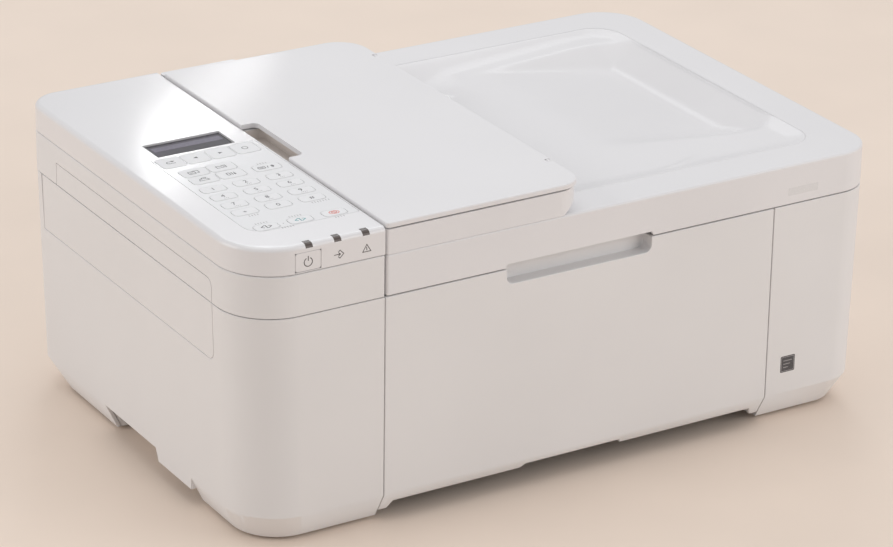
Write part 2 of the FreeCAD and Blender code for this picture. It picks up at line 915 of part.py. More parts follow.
def panel_outline(inset):
    """The tower's outline under the operation panel, drawn in by an inset."""
    inset = as_size(inset)
    x = (inset - d.case_half_width, d.left_split - d.seam / 2 - inset)
    y = (d.front + inset, d.panel_back - inset)
    small = d.tower_side_radius
    return x, y, (d.front_left_radius - inset, small, small, d.back_left_radius - inset)


def panel_solid(name, inset, z):
    x, y, radii = panel_outline(inset)
    return slab(name, x, y, z, radii)


def make_top_frame():
    inner = envelope("Deck", d.wall + d.fit_gap)
    deck_z = (d.deck_top - d.wall, d.deck_top)
    x, _, _ = everywhere(0, 0)
    deck = common("deck", inner, block("deck_span", x, (d.front + d.deck_front, d.case_back), deck_z))
    tub_x = (d.tub_left, d.tub_right)
    tub = cut("tub", block("tub_outer", tub_x, (-d.tub_half, d.tub_half), (d.tub_bottom, deck_z[0] + BITE)),
              block("tub_inner", (d.tub_left + d.wall, d.tub_right - d.wall),
                    (d.wall - d.tub_half, d.tub_half - d.wall), (d.tub_bottom + d.wall, d.deck_top + OVER)))
    window = block("glass_window", (d.glass_left + d.glass_ledge, d.glass_right - d.glass_ledge),
                   (d.glass_ledge - d.glass_half, d.glass_half - d.glass_ledge),
                   (deck_z[0] - d.glass_ledge, d.deck_top + BITE))
    ledge = block("glass_ledge", (d.glass_left - d.fit_gap, d.glass_right + d.fit_gap),
                  (-d.glass_half - d.fit_gap, d.glass_half + d.fit_gap),
                  (d.deck_top - d.glass_thick, d.deck_top + BITE))
    rail = rod("scan_rail", "x", d.rail_radius, (d.tub_left + BITE, d.tub_right - BITE), (0, d.rail_z))
    form = round_top("tower_form", panel_solid("tower_outer", 0, (d.body_top + d.fit_gap, d.tower_top)),
                     d.tower_top, d.brow_round)
    tower = cut("tower", form, panel_solid("tower_inner", d.wall, (d.body_top, d.tower_top + BITE)))
    neck = cut("neck", panel_solid("neck_outer", d.wall + d.fit_gap, (deck_z[0], d.tower_neck)),
               panel_solid("neck_inner", d.wall * 2, (deck_z[0] - BITE, d.tower_neck + BITE)))
    web = cut("web", panel_solid("web_outer", d.wall - d.web_lap, (d.web_bottom, d.web_top)),
              panel_solid("web_inner", d.wall * 2 - d.web_lap, (d.web_bottom - BITE, d.web_top + BITE)))
    groove = side_groove("tower_ring", (d.body_top - OVER, d.inset_top), d.inset_back, d.inset_top,
                         d.groove_depth)
    pierced = cut("deck_pierced", fuse("deck_and_tub", deck, tub), window, ledge)
    lugs = [hinge_lug(f"lug_{index}", x) for index, x in enumerate((d.hinge_left, d.hinge_right))]
    whole = fuse("top_frame_whole", pierced, rail, cut("tower_faced", tower, groove), neck, web, *lugs)
    return part("top_frame", whole)


def hinge_lug(name, x):
    """One of the two lugs behind the glass that carry the document cover."""
    span = (x - d.hinge_lug / 2, x + d.hinge_lug / 2)
    centre = (d.hinge_y, d.hinge_z)
    eye = rod(f"{name}_eye", "x", d.hinge_boss, span, centre)
    stem = block(f"{name}_stem", span, (d.lug_front, d.lug_back), (d.deck_top - d.lug_root, d.hinge_z))
    bore = rod(f"{name}_bore", "x", d.hinge_pin + d.pin_clearance,
               (span[0] - BITE, span[1] + BITE), centre)
    return cut(name, fuse(f"{name}_solid", eye, stem), bore)


def make_glass():
    return part("platen_glass",
                block("PlatenGlass", (d.glass_left, d.glass_right), (-d.glass_half, d.glass_half),
                      (d.deck_top - d.glass_thick, d.deck_top)))


def all_keys():
    """Name, x and y spans of every key."""
    keys = []
    for row, names in zip(KEY_ROWS, NUMBER_NAMES):
        for column, name in zip(KEY_COLUMNS, names):
            keys.append((name, column, row, *KEY_SIZE))
    return keys + list(OTHER_KEYS)


def key_block(name, x, y, width, depth, z, grow):
    half_width = as_size(width / 2) + grow
    half_depth = as_size(depth / 2) + grow
    return rounded_block(name, (x - half_width, x + half_width), (y - half_depth, y + half_depth),
                         z, d.key_radius + grow)


def make_panel():
    bottom = d.tower_top + d.panel_gap
    x, y, radii = panel_outline(0)
    raw = slab("panel_raw", (x[0], x[1] + d.column_depth), y, (bottom, d.panel_top), radii)
    side = block("panel_side", (x[1], x[1] + d.column_depth + OVER), (d.front - OVER, d.case_back),
                 (bottom - BITE, d.panel_top + OVER))
    outer = cut("panel_form", round_top("panel_rounded", raw, d.panel_top, d.panel_round), side)
    inner = panel_solid("panel_inner", d.wall, (bottom - BITE, d.panel_top - d.panel_plate))
    lamps = common("lamp_forms", outer, *[fuse("lamp_spans", *[
        block(f"lamp_{index}", (d.lamp_first + d.lamp_pitch * index - d.lamp_width / 2,
                                d.lamp_first + d.lamp_pitch * index + d.lamp_width / 2),
              (d.front - BITE, d.lamp_back), (d.panel_top - d.lamp_depth, d.panel_top + BITE))
        for index in range(LAMPS)])])
    film_x = (d.film_left, d.left_split - d.seam - d.film_margin)
    film_y = (d.film_front, d.film_back)
    radii = (d.film_radius, d.film_edge_radius, d.film_edge_radius, d.film_back_radius)
    film_z = (d.panel_top - d.film_thick, d.panel_top)
    bed = slab("film_bed", film_x, film_y, (film_z[0], film_z[1] + BITE), radii)
    gap = d.key_gap
    sheet = slab("film_sheet", (film_x[0] + gap, film_x[1] - gap), (film_y[0] + gap, film_y[1] - gap),
                 film_z, radii)
    well_z = (d.panel_top - d.key_well, d.panel_top + BITE)
    wells = fuse("key_wells", *[key_block(f"{name}_well", x, y, width, depth, well_z, gap)
                                for name, x, y, width, depth in all_keys()])
    lcd_x = (d.lcd_left, d.lcd_right)
    lcd_y = (d.lcd_front, d.lcd_back)
    lcd_floor = d.panel_top - d.lcd_depth
    lcd_well = block("lcd_well", lcd_x, lcd_y, (lcd_floor, d.panel_top + BITE))
    power_hole = block("power_hole", (d.power_left - gap, d.power_right + gap),
                       (d.front - BITE, d.front + d.wall + BITE), (d.power_bottom - gap, d.power_top + gap))
    shell = cut("panel_shell", outer, inner)
    part("operation_panel", cut("OperationPanel", shell, bed, wells, lcd_well, lamps, power_hole))
    part("keypad_film", cut("KeypadFilm", sheet, wells))
    part("status_lamps", lamps)
    part("lcd_window", block("LcdWindow", (lcd_x[0] + gap, lcd_x[1] - gap),
                             (lcd_y[0] + gap, lcd_y[1] - gap), (lcd_floor, lcd_floor + d.lcd_thick)))
    cap = rounded_power_cap()
    part("power_button", cap)


def rounded_power_cap():
    face = block("power_cap", (d.power_left, d.power_right), (d.front, d.front + d.power_depth),
                 (d.power_bottom, d.power_top))
    return fillet("PowerButton", face, d.power_radius, depth_edges(face))


def make_keys():
    top = d.panel_top + d.key_proud
    for name, x, y, width, depth in all_keys():
        blank = key_block(f"{name}_form", x, y, width, depth, (top - d.key_height, top), as_size(0))
        part(name, round_top(f"{name}_cap", blank, top, d.key_edge))


def cover_solid(name, inset, z):
    inset = as_size(inset)
    x = (d.cover_left + inset, d.case_half_width - inset)
    y = (d.front + inset, d.case_back - d.cover_back_step - inset)
    return slab(name, x, y, z, (d.cover_left_radius, d.front_right_radius - inset,
                              d.back_right_radius - inset, d.cover_left_radius))


def make_dish(x, y, radii):
    """The shallow slope that leads from the rim line down to the pocket's edge."""
    body = doc.addObject("PartDesign::Body", "Dish")
    inner_x = (x[0] + BITE, d.pocket_right)
    inner_y = (d.pocket_front - BITE, d.pocket_back + BITE)
    floor = outline(body, "dish_floor", inner_x, inner_y, radii, d.rim_floor)
    edge = outline(body, "dish_edge", x, y, radii, d.tower_top)
    slope = body.newObject("PartDesign::AdditiveLoft", "dish_slope")
    slope.Profile = floor
    slope.Sections = [edge]
    slope.Ruled = True
    return body


def make_document_cover():
    bottom = d.body_top + d.cover_gap
    raw = cover_solid("cover_raw", 0, (bottom, d.tower_top))
    outer = round_top("cover_form", raw, d.tower_top, d.cover_round)
    hollow = cover_solid("cover_hollow", d.wall, (bottom - BITE, d.tower_top - d.wall))
    plate = cover_solid("cover_plate", d.wall - 0.1,
                        (d.cover_plate, d.cover_plate + d.cover_plate_thick))
    rim_x = (d.rim_left, d.rim_right)
    rim_y = (d.rim_front, d.rim_back)
    rim_radii = (d.rim_left_radius, d.rim_radius, d.rim_radius, d.rim_left_radius)
    dish = make_dish(rim_x, rim_y, rim_radii)
    rim_tub = slab("rim_tub", (rim_x[0] - d.wall, rim_x[1] + d.wall), (rim_y[0] - d.wall, rim_y[1] + d.wall),
                   (d.rim_floor - d.wall, d.tower_top - BITE), rim_radii)
    wedge = ((d.pocket_left, d.rim_floor), (d.pocket_valley, d.pocket_floor),
             (d.pocket_toe, d.pocket_floor), (d.pocket_right, d.rim_floor),
             (d.pocket_right, d.tower_top + BITE), (d.pocket_left, d.tower_top + BITE))
    pocket = prism("pocket", "XZ_Plane", wedge, (-d.pocket_back, -d.pocket_front))
    thick = d.wall
    under = ((d.pocket_left - thick, d.rim_floor - thick), (d.pocket_valley, d.pocket_floor - thick),
             (d.pocket_toe, d.pocket_floor - thick), (d.pocket_right + thick, d.rim_floor - thick),
             (d.pocket_right + thick, d.rim_floor), (d.pocket_left - thick, d.rim_floor))
    pocket_tub = prism("pocket_tub", "XZ_Plane", under, (-d.pocket_back - thick, thick - d.pocket_front))
    finger = prism("cover_notch_tool", "XZ_Plane",
                   ((d.scoop_left - d.notch_slant, bottom - d.notch_slant),
                    (d.scoop_right + d.notch_slant, bottom - d.notch_slant),
                    (d.scoop_right, d.cover_notch), (d.scoop_left, d.cover_notch)),
                   (-d.front - d.wall * 2, -d.front + OVER))
    back_gap = block("cover_back_gap", (d.cover_left - OVER, d.case_half_width + OVER),
                     (d.back_gap_front, d.rear_face + OVER), (bottom - BITE, d.back_gap_roof))
    slots = []
    pins = []
    for index, x in enumerate((d.hinge_left, d.hinge_right)):
        slot = (x - d.hinge_slot / 2, x + d.hinge_slot / 2)
        slots.append(block(f"hinge_slot_{index}", slot, (d.hinge_slot_front, d.rear_face + OVER),
                           (bottom - OVER, d.hinge_slot_roof)))
        pins.append(rod(f"hinge_pin_{index}", "x", d.hinge_pin,
                        (slot[0] - d.cheek_pin, slot[1] + d.cheek_pin),
                        (d.hinge_y, d.hinge_z)))
        cheek_z = (d.cheek_bottom, d.tower_top - BITE)
        cheek_y = (d.cheek_front, d.case_back - d.cheek_inset)
        inner = slot[0] - d.cheek_gap
        outer_side = slot[1] + d.cheek_gap
        pins.append(block(f"cheek_a_{index}", (inner - d.cheek_thick, inner), cheek_y, cheek_z))
        pins.append(block(f"cheek_b_{index}", (outer_side, outer_side + d.cheek_thick), cheek_y, cheek_z))
    body = fuse("cover_body", cut("cover_shell", outer, hollow), plate,
                common("rim_inside", rim_tub, cover_solid("rim_limit", BITE, (bottom, d.tower_top - BITE))),
                pocket_tub)
    carved = cut("cover_carved", body, dish, pocket, finger, back_gap, *slots)
    part("document_cover", fuse("DocumentCover", carved, *pins))
    pad_z = (d.deck_top + d.pad_gap, d.cover_plate)
    pad_x = (d.glass_left + d.pad_inset, d.glass_right - d.pad_inset)
    pad_y = (d.pad_inset - d.glass_half, d.glass_half - d.pad_inset)
    part("pressure_pad", rounded_block("PressurePad", pad_x, pad_y, pad_z, d.pad_radius))


def make_feeder():
    bottom = d.tower_top
    small = d.feeder_side_radius
    radii = (small, d.feeder_corner, d.feeder_back_radius, small)
    main = slab("feeder_main", (d.cover_left, d.feeder_right), (d.front, d.feeder_back),
                (bottom, d.feeder_top), radii)
    strip = slab("feeder_strip", (d.cover_left, d.strip_right), (d.feeder_back - d.strip_lap, d.strip_back),
                 (bottom, d.feeder_top), (small, small, d.strip_right_radius, d.strip_left_radius))
    ridge = slab("feeder_ridge", (d.cover_left, d.strip_right), (d.strip_front, d.strip_back),
                 (d.feeder_top - BITE, d.panel_top), (small, small, d.ridge_radius, d.ridge_radius))
    undercut = prism("feeder_undercut_tool", "XZ_Plane",
                     ((d.feeder_undercut, bottom - BITE), (d.feeder_right + OVER, bottom - BITE),
                      (d.feeder_right + OVER, d.feeder_top - d.undercut_brow),
                      (d.feeder_right, d.feeder_top - d.undercut_brow),
                      (d.feeder_right - d.undercut_side, bottom + d.undercut_rise),
                      (d.feeder_undercut + d.undercut_slant, bottom + d.undercut_lip)),
                     (-d.rear_face, OVER - d.front))
    bay = prism("feeder_bay", "XZ_Plane",
                ((d.bay_left, d.bay_floor), (d.bay_flat, d.bay_floor),
                 (d.bay_right, d.feeder_top - d.bay_lip),
                 (d.bay_right, d.feeder_top + OVER), (d.bay_left, d.feeder_top + OVER)),
                (-d.bay_half, d.bay_half))
    chamber = block("roller_chamber", (d.chamber_left, d.chamber_right), (d.chamber_front, d.chamber_back),
                    (d.chamber_floor, d.chamber_roof))
    well = rounded_block("finger_well", (d.cover_left - OVER, d.well_right), (d.well_front, d.well_back),
                         (d.well_floor, d.panel_top + OVER), d.well_radius)
    pivot = (d.flap_pivot_x, d.flap_pivot_z)
    tabs = []
    for index, y in enumerate((d.flap_tab_front, d.flap_tab_back)):
        span = (y - d.flap_tab_half, y + d.flap_tab_half)
        stem = block(f"tab_stem_{index}", (d.flap_pivot_x - d.flap_tab, d.flap_pivot_x + d.flap_tab),
                     span, (d.feeder_top - d.flap_tab_foot, d.flap_pivot_z))
        eye = rod(f"tab_eye_{index}", "y", d.flap_tab, span, pivot)
        bore = rod(f"tab_bore_{index}", "y", d.flap_pin + d.pin_clearance,
                   (span[0] - BITE, span[1] + BITE), pivot)
        tabs.append(cut(f"tray_tab_{index}", fuse(f"tab_solid_{index}", stem, eye), bore))
    bearings = []
    for index, y in enumerate((d.bearing_front, d.bearing_back)):
        web = block(f"bearing_{index}", (d.roller_x - d.bearing_half, d.roller_x + d.bearing_half),
                    (y, y + d.bearing_thick), (d.bearing_foot, d.feeder_top - BITE))
        hole = rod(f"bearing_bore_{index}", "y", d.roller_shaft + d.pin_clearance,
                   (y - BITE, y + d.bearing_thick + BITE), (d.roller_x, d.roller_z))
        bearings.append(cut(f"bearing_web_{index}", web, hole))
    block_form = fuse("feeder_block", main, strip, ridge)
    carved = cut("feeder_carved", block_form, undercut, bay, chamber, well)
    part("adf_housing", fuse("AdfHousing", carved, *tabs, *bearings))
    shaft = rod("pick_shaft", "y", d.roller_shaft, (d.pick_shaft_front, d.pick_shaft_back),
                (d.roller_x, d.roller_z))
    tyres = [rod(f"pick_tyre_{index}", "y", d.roller_radius, span, (d.roller_x, d.roller_z))
             for index, span in enumerate(PICK_TYRES)]
    part("adf_pick_roller", fuse("AdfPickRoller", shaft, *tyres))
    make_document_guides()


def make_document_guides():
    """Two L-shaped guides in the feeder's bay, mirrored about its middle."""
    base_z = (d.bay_floor + d.guide_lift, d.bay_floor + d.guide_thick)
    x = (d.bay_left + d.guide_inset, d.bay_flat - d.guide_thick)
    for label, sign in (("document_guide_front", -1), ("document_guide_rear", 1)):
        fence_y = in_order(d.guide_reach * sign, (d.guide_reach + d.guide_thick) * sign)
        foot_y = in_order((d.guide_reach - d.guide_foot) * sign, (d.guide_reach + d.guide_thick) * sign)
        foot = block(f"{label}_foot", x, foot_y, base_z)
        fence = block(f"{label}_fence", x, fence_y,
                      (base_z[0], d.feeder_top - d.guide_slack))
        part(label, fuse(f"Guide_{label}", foot, fence))


def make_document_tray():
    low = d.overall_height - d.flap_thick
    small = d.flap_left_radius
    raw = slab("flap_raw", (d.flap_left, d.flap_right), (d.front, d.flap_back),
               (low, d.overall_height), (small, d.flap_corner, d.flap_back_corner, small))
    form = round_top("flap_form", raw, d.overall_height, d.flap_round)
    notch = rounded_block("flap_notch", (d.flap_left - 2 * OVER, d.notch_right),
                          (d.well_front, d.well_back),
                          (low - BITE, d.overall_height + BITE), d.well_radius)
    cuts = [notch]
    pins = []
    pivot = (d.flap_pivot_x, d.flap_pivot_z)
    for index, y in enumerate((d.flap_tab_front, d.flap_tab_back)):
        cuts.append(block(f"tab_slot_{index}", (d.flap_pivot_x - d.flap_slot_reach, d.flap_right + BITE),
                          (y - d.flap_slot_half, y + d.flap_slot_half),
                          (low - BITE, d.overall_height + BITE)))
        pins.append(rod(f"flap_pin_{index}", "y", d.flap_pin,
                        (y - d.flap_pin_half, y + d.flap_pin_half), pivot))
    part("document_tray", fuse("DocumentTray", cut("flap_carved", form, *cuts), *pins))


def make_front_door():
    x = (d.left_split + d.seam / 2, d.right_split - d.seam / 2)
    outer = d.front
    inner = d.front + d.door_thick
    top = d.deck_top - d.door_gap
    section = ((outer, d.bevel_top), (outer, top), (inner, top), (inner, d.bevel_top),
               (inner + d.door_bevel, d.door_foot), (outer + d.door_bevel, d.door_foot))
    skin = prism("door_skin", "YZ_Plane", section, x)
    scoop_x = (d.scoop_left, d.scoop_right)
    scoop_z = (d.scoop_bottom, d.body_top + OVER)
    scoop_box = block("scoop_box", scoop_x, (d.front - OVER, d.scoop_back), scoop_z)
    scoop = fillet("scoop", scoop_box, d.scoop_radius, scoop_edges(scoop_box, d.scoop_bottom))
    cup = block("scoop_cup", (scoop_x[0] - d.scoop_wall, scoop_x[1] + d.scoop_wall),
                (inner - BITE, d.scoop_back + d.scoop_back_wall), (d.scoop_bottom - d.scoop_wall, top))
    pivot = (d.door_pivot_y, d.door_pivot_z)
    below = d.door_foot - BITE
    foot_left = x[0] + d.door_foot_width
    foot_right = x[1] - d.door_foot_width
    hem = prism("door_hem", "XZ_Plane",
                ((foot_left, below), (foot_left, d.door_foot), (foot_left + d.door_slant, d.door_bottom),
                 (d.raised_left - d.door_slant, d.door_bottom), (d.raised_left, d.door_raised),
                 (d.raised_right, d.door_raised), (d.raised_right + BITE, d.door_bottom),
                 (foot_right - d.door_slant, d.door_bottom), (foot_right, d.door_foot), (foot_right, below)),
                (-d.pan_front, OVER - d.front))
    knuckles = []
    pins = []
    spans = ((x[0], x[0] + d.door_knuckle), (x[1] - d.door_knuckle, x[1]))
    pin_spans = ((x[0] - d.wall, x[0] + BITE), (x[1] - BITE, x[1] + d.wall))
    for index, (span, pin_span) in enumerate(zip(spans, pin_spans)):
        knuckles.append(rod(f"door_knuckle_{index}", "x", d.door_boss, span, pivot))
        knuckles.append(block(f"door_web_{index}", span, (inner - BITE, d.door_pivot_y),
                              (d.door_web_bottom, d.door_web_top)))
        pins.append(rod(f"door_pin_{index}", "x", d.hinge_pin, pin_span, pivot))
    carved = cut("door_carved", fuse("door_blank", skin, cup), scoop, hem)
    part("front_door", fuse("FrontDoor", carved, *knuckles, *pins))


def scoop_edges(item, height):
    """Edges of the scoop that meet its floor: the ones along Y and the ones on its far side."""
    far = item.Shape.BoundBox.YMax
    return edges_where(item, lambda box: near(box.ZMin, height.value)
                       and (near(box.YMax, far) or box.YLength > 1))


def make_rear_cover():
    x = (d.rear_left, d.rear_right)
    z = (d.rear_bottom, d.rear_top)
    blank = block("rear_blank", x, (d.rear_inner, d.rear_face), z)
    form = fillet("rear_form", blank, d.rear_edge_radius,
                  edges_where(blank, lambda box: near(box.YMin, d.rear_face.value)))
    hollow = block("rear_hollow", (x[0] + d.wall, x[1] - d.wall),
                   (d.rear_inner - BITE, d.rear_face - d.wall), (z[0] + d.wall, z[1] - d.wall))
    pivot = (d.rear_pivot_y, d.rear_pivot_z)
    pins = [rod("rear_pin_left", "x", d.hinge_pin, (x[0] - d.rear_pin_reach, x[0] + d.rear_pin_root), pivot),
            rod("rear_pin_right", "x", d.hinge_pin, (x[1] - d.rear_pin_root, x[1] + d.rear_pin_reach), pivot)]
    latch = block("rear_latch", (d.paper_middle - d.rear_latch_half, d.paper_middle + d.rear_latch_half),
                  (d.rear_face - d.wall - BITE, d.rear_face - d.rear_latch_inset),
                  (z[1] - d.rear_latch_drop, z[1] - d.rear_latch_drop + d.rear_latch_thick))
    starts = [d.rear_left + d.rear_rib_first + d.rear_rib_pitch * index for index in range(REAR_RIBS)]
    ribs = [block(f"rear_rib_{index}", (start, start + d.rear_rib_thick),
                  (d.rear_inner + d.rear_rib_thick, d.rear_face - BITE), (z[0] + BITE, z[1] - BITE))
            for index, start in enumerate(starts)]
    return part("rear_cover", fuse("RearCover", cut("rear_shell", form, hollow), latch, *pins, *ribs))


def make_scanner_bar():
    x = (d.bar_left, d.bar_left + d.bar_width)
    bar = block("bar_body", x, (-d.bar_half, d.bar_half), (d.bar_bottom, d.bar_top))
    shoe = block("bar_shoe", x, (-d.shoe_half, d.shoe_half), (d.shoe_bottom, d.shoe_top))
    slot = block("bar_lens_slot", (x[0] + d.lens_inset, x[1] - d.lens_inset),
                 (d.lens_end - d.bar_half, d.bar_half - d.lens_end), (d.lens_floor, d.bar_top + BITE))
    bore = rod("bar_bore", "x", d.rail_radius + d.pin_clearance, (x[0] - BITE, x[1] + BITE), (0, d.rail_z))
    return part("scan_bar", cut("ScanBar", fuse("bar_whole", bar, shoe), slot, bore))


def make_chassis():
    left, right = d.chassis_left, d.chassis_right
    z = (d.chassis_bottom, d.chassis_top)
    back = block("chassis_back_plate", (left, right), (d.chassis_back - d.sheet, d.chassis_back), z)
    y = (d.chassis_front, d.chassis_back)
    cheeks = [block("cheek_left", (left, left + d.sheet), y, z),
              block("cheek_right", (right - d.sheet, right), y, z)]
    beam = block("carriage_beam", (left, right), (d.beam_front, d.beam_front + d.beam_thick),
                 (d.beam_bottom, d.beam_top))
    bed = block("print_bed", (left, right), (d.bed_front, d.bed_back), (d.bed_bottom, d.bed_top))
    bracket = block("motor_bracket", (d.bracket_left, right), (d.bracket_front, d.chassis_back),
                    (d.motor_top, d.motor_top + d.sheet))
    spindle = rod("motor_bracket_hole", "z", d.bracket_hole,
                  (d.motor_top - BITE, d.motor_top + d.sheet + BITE), (d.motor_x, d.motor_y))
    post = rod("belt_post", "z", d.pulley_radius - d.post_slack, (d.post_bottom, d.post_top),
               (d.idler_x, d.motor_y))
    arm = block("belt_post_arm", (d.idler_x - d.post_arm_half, d.idler_x + d.post_arm_half),
                (d.post_arm_front, d.chassis_back), (d.post_arm_bottom, d.post_arm_bottom + d.sheet))
    holes = [rod(f"axle_hole_{index}", "x", d.axle_radius + d.pin_clearance, (left - BITE, right + BITE),
                 (y_place, d.feed_z)) for index, y_place in enumerate((d.feed_y, d.exit_y))]
    feet = [block(f"chassis_foot_{index}", (x_low, x_low + d.chassis_foot_width),
                  (d.chassis_foot, d.chassis_back), (d.floor_top, d.chassis_bottom + BITE))
            for index, x_low in enumerate((left, right - d.chassis_foot_width))]
    plates = cut("chassis_plates", fuse("chassis_blank", back, *cheeks, beam, bed, bracket), *holes, spindle)
    return part("print_chassis", fuse("PrintChassis", plates, post, arm, *feet))


def roller(label, y, radius, sleeves):
    left = d.chassis_left - d.axle_reach
    right = d.chassis_right + d.axle_reach
    axle = rod(f"{label}_axle", "x", d.axle_radius, (left, right), (y, d.feed_z))
    rings = [rod(f"{label}_sleeve_{index}", "x", radius, (start, start + width), (y, d.feed_z))
             for index, (start, width) in enumerate(sleeves)]
    return part(label, fuse(f"Roller_{label}", axle, *rings))


def make_rollers():
    roller("feed_roller", d.feed_y, d.feed_radius, FEED_TYRES)
    roller("exit_roller", d.exit_y, d.exit_radius,
           tuple((d.paper_middle.value + offset, d.exit_tyre.value) for offset in EXIT_TYRE_OFFSETS))


def make_carriage():
    left = d.carriage_left
    right = left + d.carriage_width
    y = (d.carriage_front, d.carriage_back)
    z = (d.carriage_bottom, d.carriage_top)
    tray = block("carriage_tray", (left, right), y, z)
    starts = (left + d.tank_well_edge, left + d.tank_well_edge + d.tank_pitch)
    wells = [block(f"cartridge_well_{index}", (start, start + d.tank_well_width),
                   (y[0] - BITE, y[1] - d.tank_well_back), (z[0] + d.tank_floor, z[1] + BITE))
             for index, start in enumerate(starts)]
    nozzles = block("carriage_nozzle_slot", (left + d.nozzle_inset, right - d.nozzle_inset),
                    (d.nozzle_front, d.nozzle_back), (z[0] - BITE, z[0] + d.nozzle_floor))
    hook_top = block("carriage_hook_top", (left, right), (y[1] - BITE, d.hook_back),
                     (d.beam_top + d.hook_gap, z[1]))
    hook_back = block("carriage_hook_back", (left, right), (d.hook_front, d.hook_back),
                      (d.hook_bottom, z[1]))
    body = cut("carriage_carved", tray, *wells, nozzles)
    part("print_carriage", fuse("PrintCarriage", body, hook_top, hook_back))
    tanks = []
    for index, start in enumerate(starts):
        tank_x = (start + d.tank_slack, start + d.tank_well_width - d.tank_slack)
        tank = rounded_block(f"cartridge_{index}", tank_x,
                             (y[0] + d.tank_front, y[1] - d.tank_well_back - d.tank_slack),
                             (z[0] + d.tank_floor, z[1] - d.tank_drop), d.tank_radius)
        grip_cut = block(f"cartridge_grip_{index}", (tank_x[0] - BITE, tank_x[1] + BITE),
                         (y[0] + BITE, y[0] + d.tank_grip_depth), (z[1] - d.tank_grip_height, z[1]))
        tanks.append(cut(f"tank_{index}", tank, grip_cut))
    part("ink_cartridges", fuse("InkCartridges", *tanks))


def make_drive():
    centre = (d.motor_x, d.motor_y)
    can = rod("motor_can", "z", d.motor_radius, (d.motor_bottom, d.motor_top), centre)
    bore = rod("motor_bore", "z", d.spindle_radius + d.pin_clearance,
               (d.motor_bore_bottom, d.motor_top + BITE), centre)
    part("carriage_motor", cut("CarriageMotor", can, bore))
    wheel = rod("pulley_wheel", "z", d.pulley_radius,
                (d.belt_bottom - d.pulley_rim, d.belt_top + d.pulley_rim), centre)
    spindle = rod("pulley_spindle", "z", d.spindle_radius, (d.spindle_bottom, d.belt_bottom), centre)
    part("motor_pulley", fuse("MotorPulley", wheel, spindle))
    outer = d.belt_inner + d.belt_thick
    z = (d.belt_bottom, d.belt_top)

    def racetrack(name, radius, heights):
        x = (d.idler_x - radius, d.motor_x + radius)
        y = (d.motor_y - radius, d.motor_y + radius)
        corner = radius - d.belt_straight
        return slab(name, x, y, heights, (corner, corner, corner, corner))

    part("drive_belt", cut("DriveBelt", racetrack("belt_outer", outer, z),
                           racetrack("belt_inner_tool", d.belt_inner, (z[0] - BITE, z[1] + BITE))))


def make_paper_trays():
    x = (d.left_split - d.seam / 2, d.right_split + d.seam / 2)
    front = d.front + d.tray_front
    plate = block("tray_plate", x, (front, d.chassis_front - d.tray_back_gap),
                  (d.tray_z, d.tray_z + d.tray_thick))
    lip = block("tray_lip", x, (front, front + d.tray_lip), (d.tray_z, d.tray_z + d.tray_lip_height))
    thumb = rounded_block("tray_thumb", (d.paper_middle - d.thumb_half, d.paper_middle + d.thumb_half),
                          (d.front + d.thumb_front, d.front + d.thumb_back),
                          (d.tray_z - BITE, d.tray_z + d.tray_lip_height + BITE), d.thumb_radius)
    part("output_tray", cut("OutputTray", fuse("tray_blank", plate, lip), thumb))
    for label, sign in (("paper_guide_left", -1), ("paper_guide_right", 1)):
        middle = d.paper_middle
        outside = middle + (d.paper_half + d.paper_fence) * sign
        fence = in_order(middle + d.paper_half * sign, outside)
        foot = in_order(middle + (d.paper_half - d.paper_foot) * sign, outside)
        low = d.floor_top + d.paper_foot_lift
        shoe = block(f"{label}_foot", foot, (d.paper_foot_front, d.paper_foot_back),
                     (low, low + d.paper_foot_thick))
        wall = block(f"{label}_fence", fence, (d.paper_fence_front, d.paper_fence_back),
                     (low, d.tray_z - d.paper_fence_drop))
        part(label, fuse(f"Paper_{label}", shoe, wall))


def make_electrics():
    board = block("board_sheet", (d.board_left, d.board_right),
                  (d.board_front, d.board_front + d.board_thick), (d.board_bottom, d.board_top))
    chip_y = (d.board_front - d.chip_thick, d.board_front)
    chips = [block(f"chip_{index}", (x, x + size), chip_y, (z, z + size))
             for index, (x, z, size) in enumerate(CHIPS)]
    sockets = []
    z = (d.port_gap + PORT_OPENING[0], -d.port_gap + PORT_OPENING[1])
    for name, left, right in PORTS:
        shell = block(f"{name}_shell", (left, right), (d.board_front + BITE, d.port_back), z)
        mouth = block(f"{name}_mouth", (d.port_wall_side + left, -d.port_wall_side + right),
                      (d.port_back - d.port_depth, d.port_back + BITE),
                      (z[0] + d.port_wall, z[1] - d.port_wall))
        sockets.append(cut(f"{name}_socket", shell, mouth))
    part("main_board", fuse("MainBoard", board, *chips, *sockets))
    middle_z = (d.inlet_bottom + d.inlet_top) / 2
    middle_x = (d.inlet_left + d.inlet_right) / 2
    case = block("inlet_case", (d.inlet_left, d.inlet_right), (d.port_back - d.inlet_depth, d.port_back),
                 (d.inlet_bottom, d.inlet_top))
    mouth_box = block("inlet_mouth_box", (middle_x - d.inlet_mouth_half, middle_x + d.inlet_mouth_half),
                      (d.port_back - d.inlet_mouth_depth, d.port_back + BITE),
                      (middle_z - d.inlet_mouth_rise, middle_z + d.inlet_mouth_rise))
    mouth = fillet("inlet_mouth", mouth_box, d.inlet_mouth_radius, depth_edges(mouth_box))
    prong_root = d.port_back - d.inlet_mouth_depth - BITE
    prongs = [rod(f"inlet_prong_{index}", "y", d.prong_radius, (prong_root, prong_root + d.prong_length),
                  (middle_x + offset, middle_z))
              for index, offset in enumerate((-d.prong_offset, d.prong_offset))]
    part("power_inlet", fuse("PowerInlet", cut("inlet_cut", case, mouth), *prongs))
    part("power_supply", rounded_block("PowerSupply", (d.supply_left, d.supply_right),
                                       (d.supply_front, d.supply_back),
                                       (d.supply_bottom, d.supply_top), d.supply_radius))


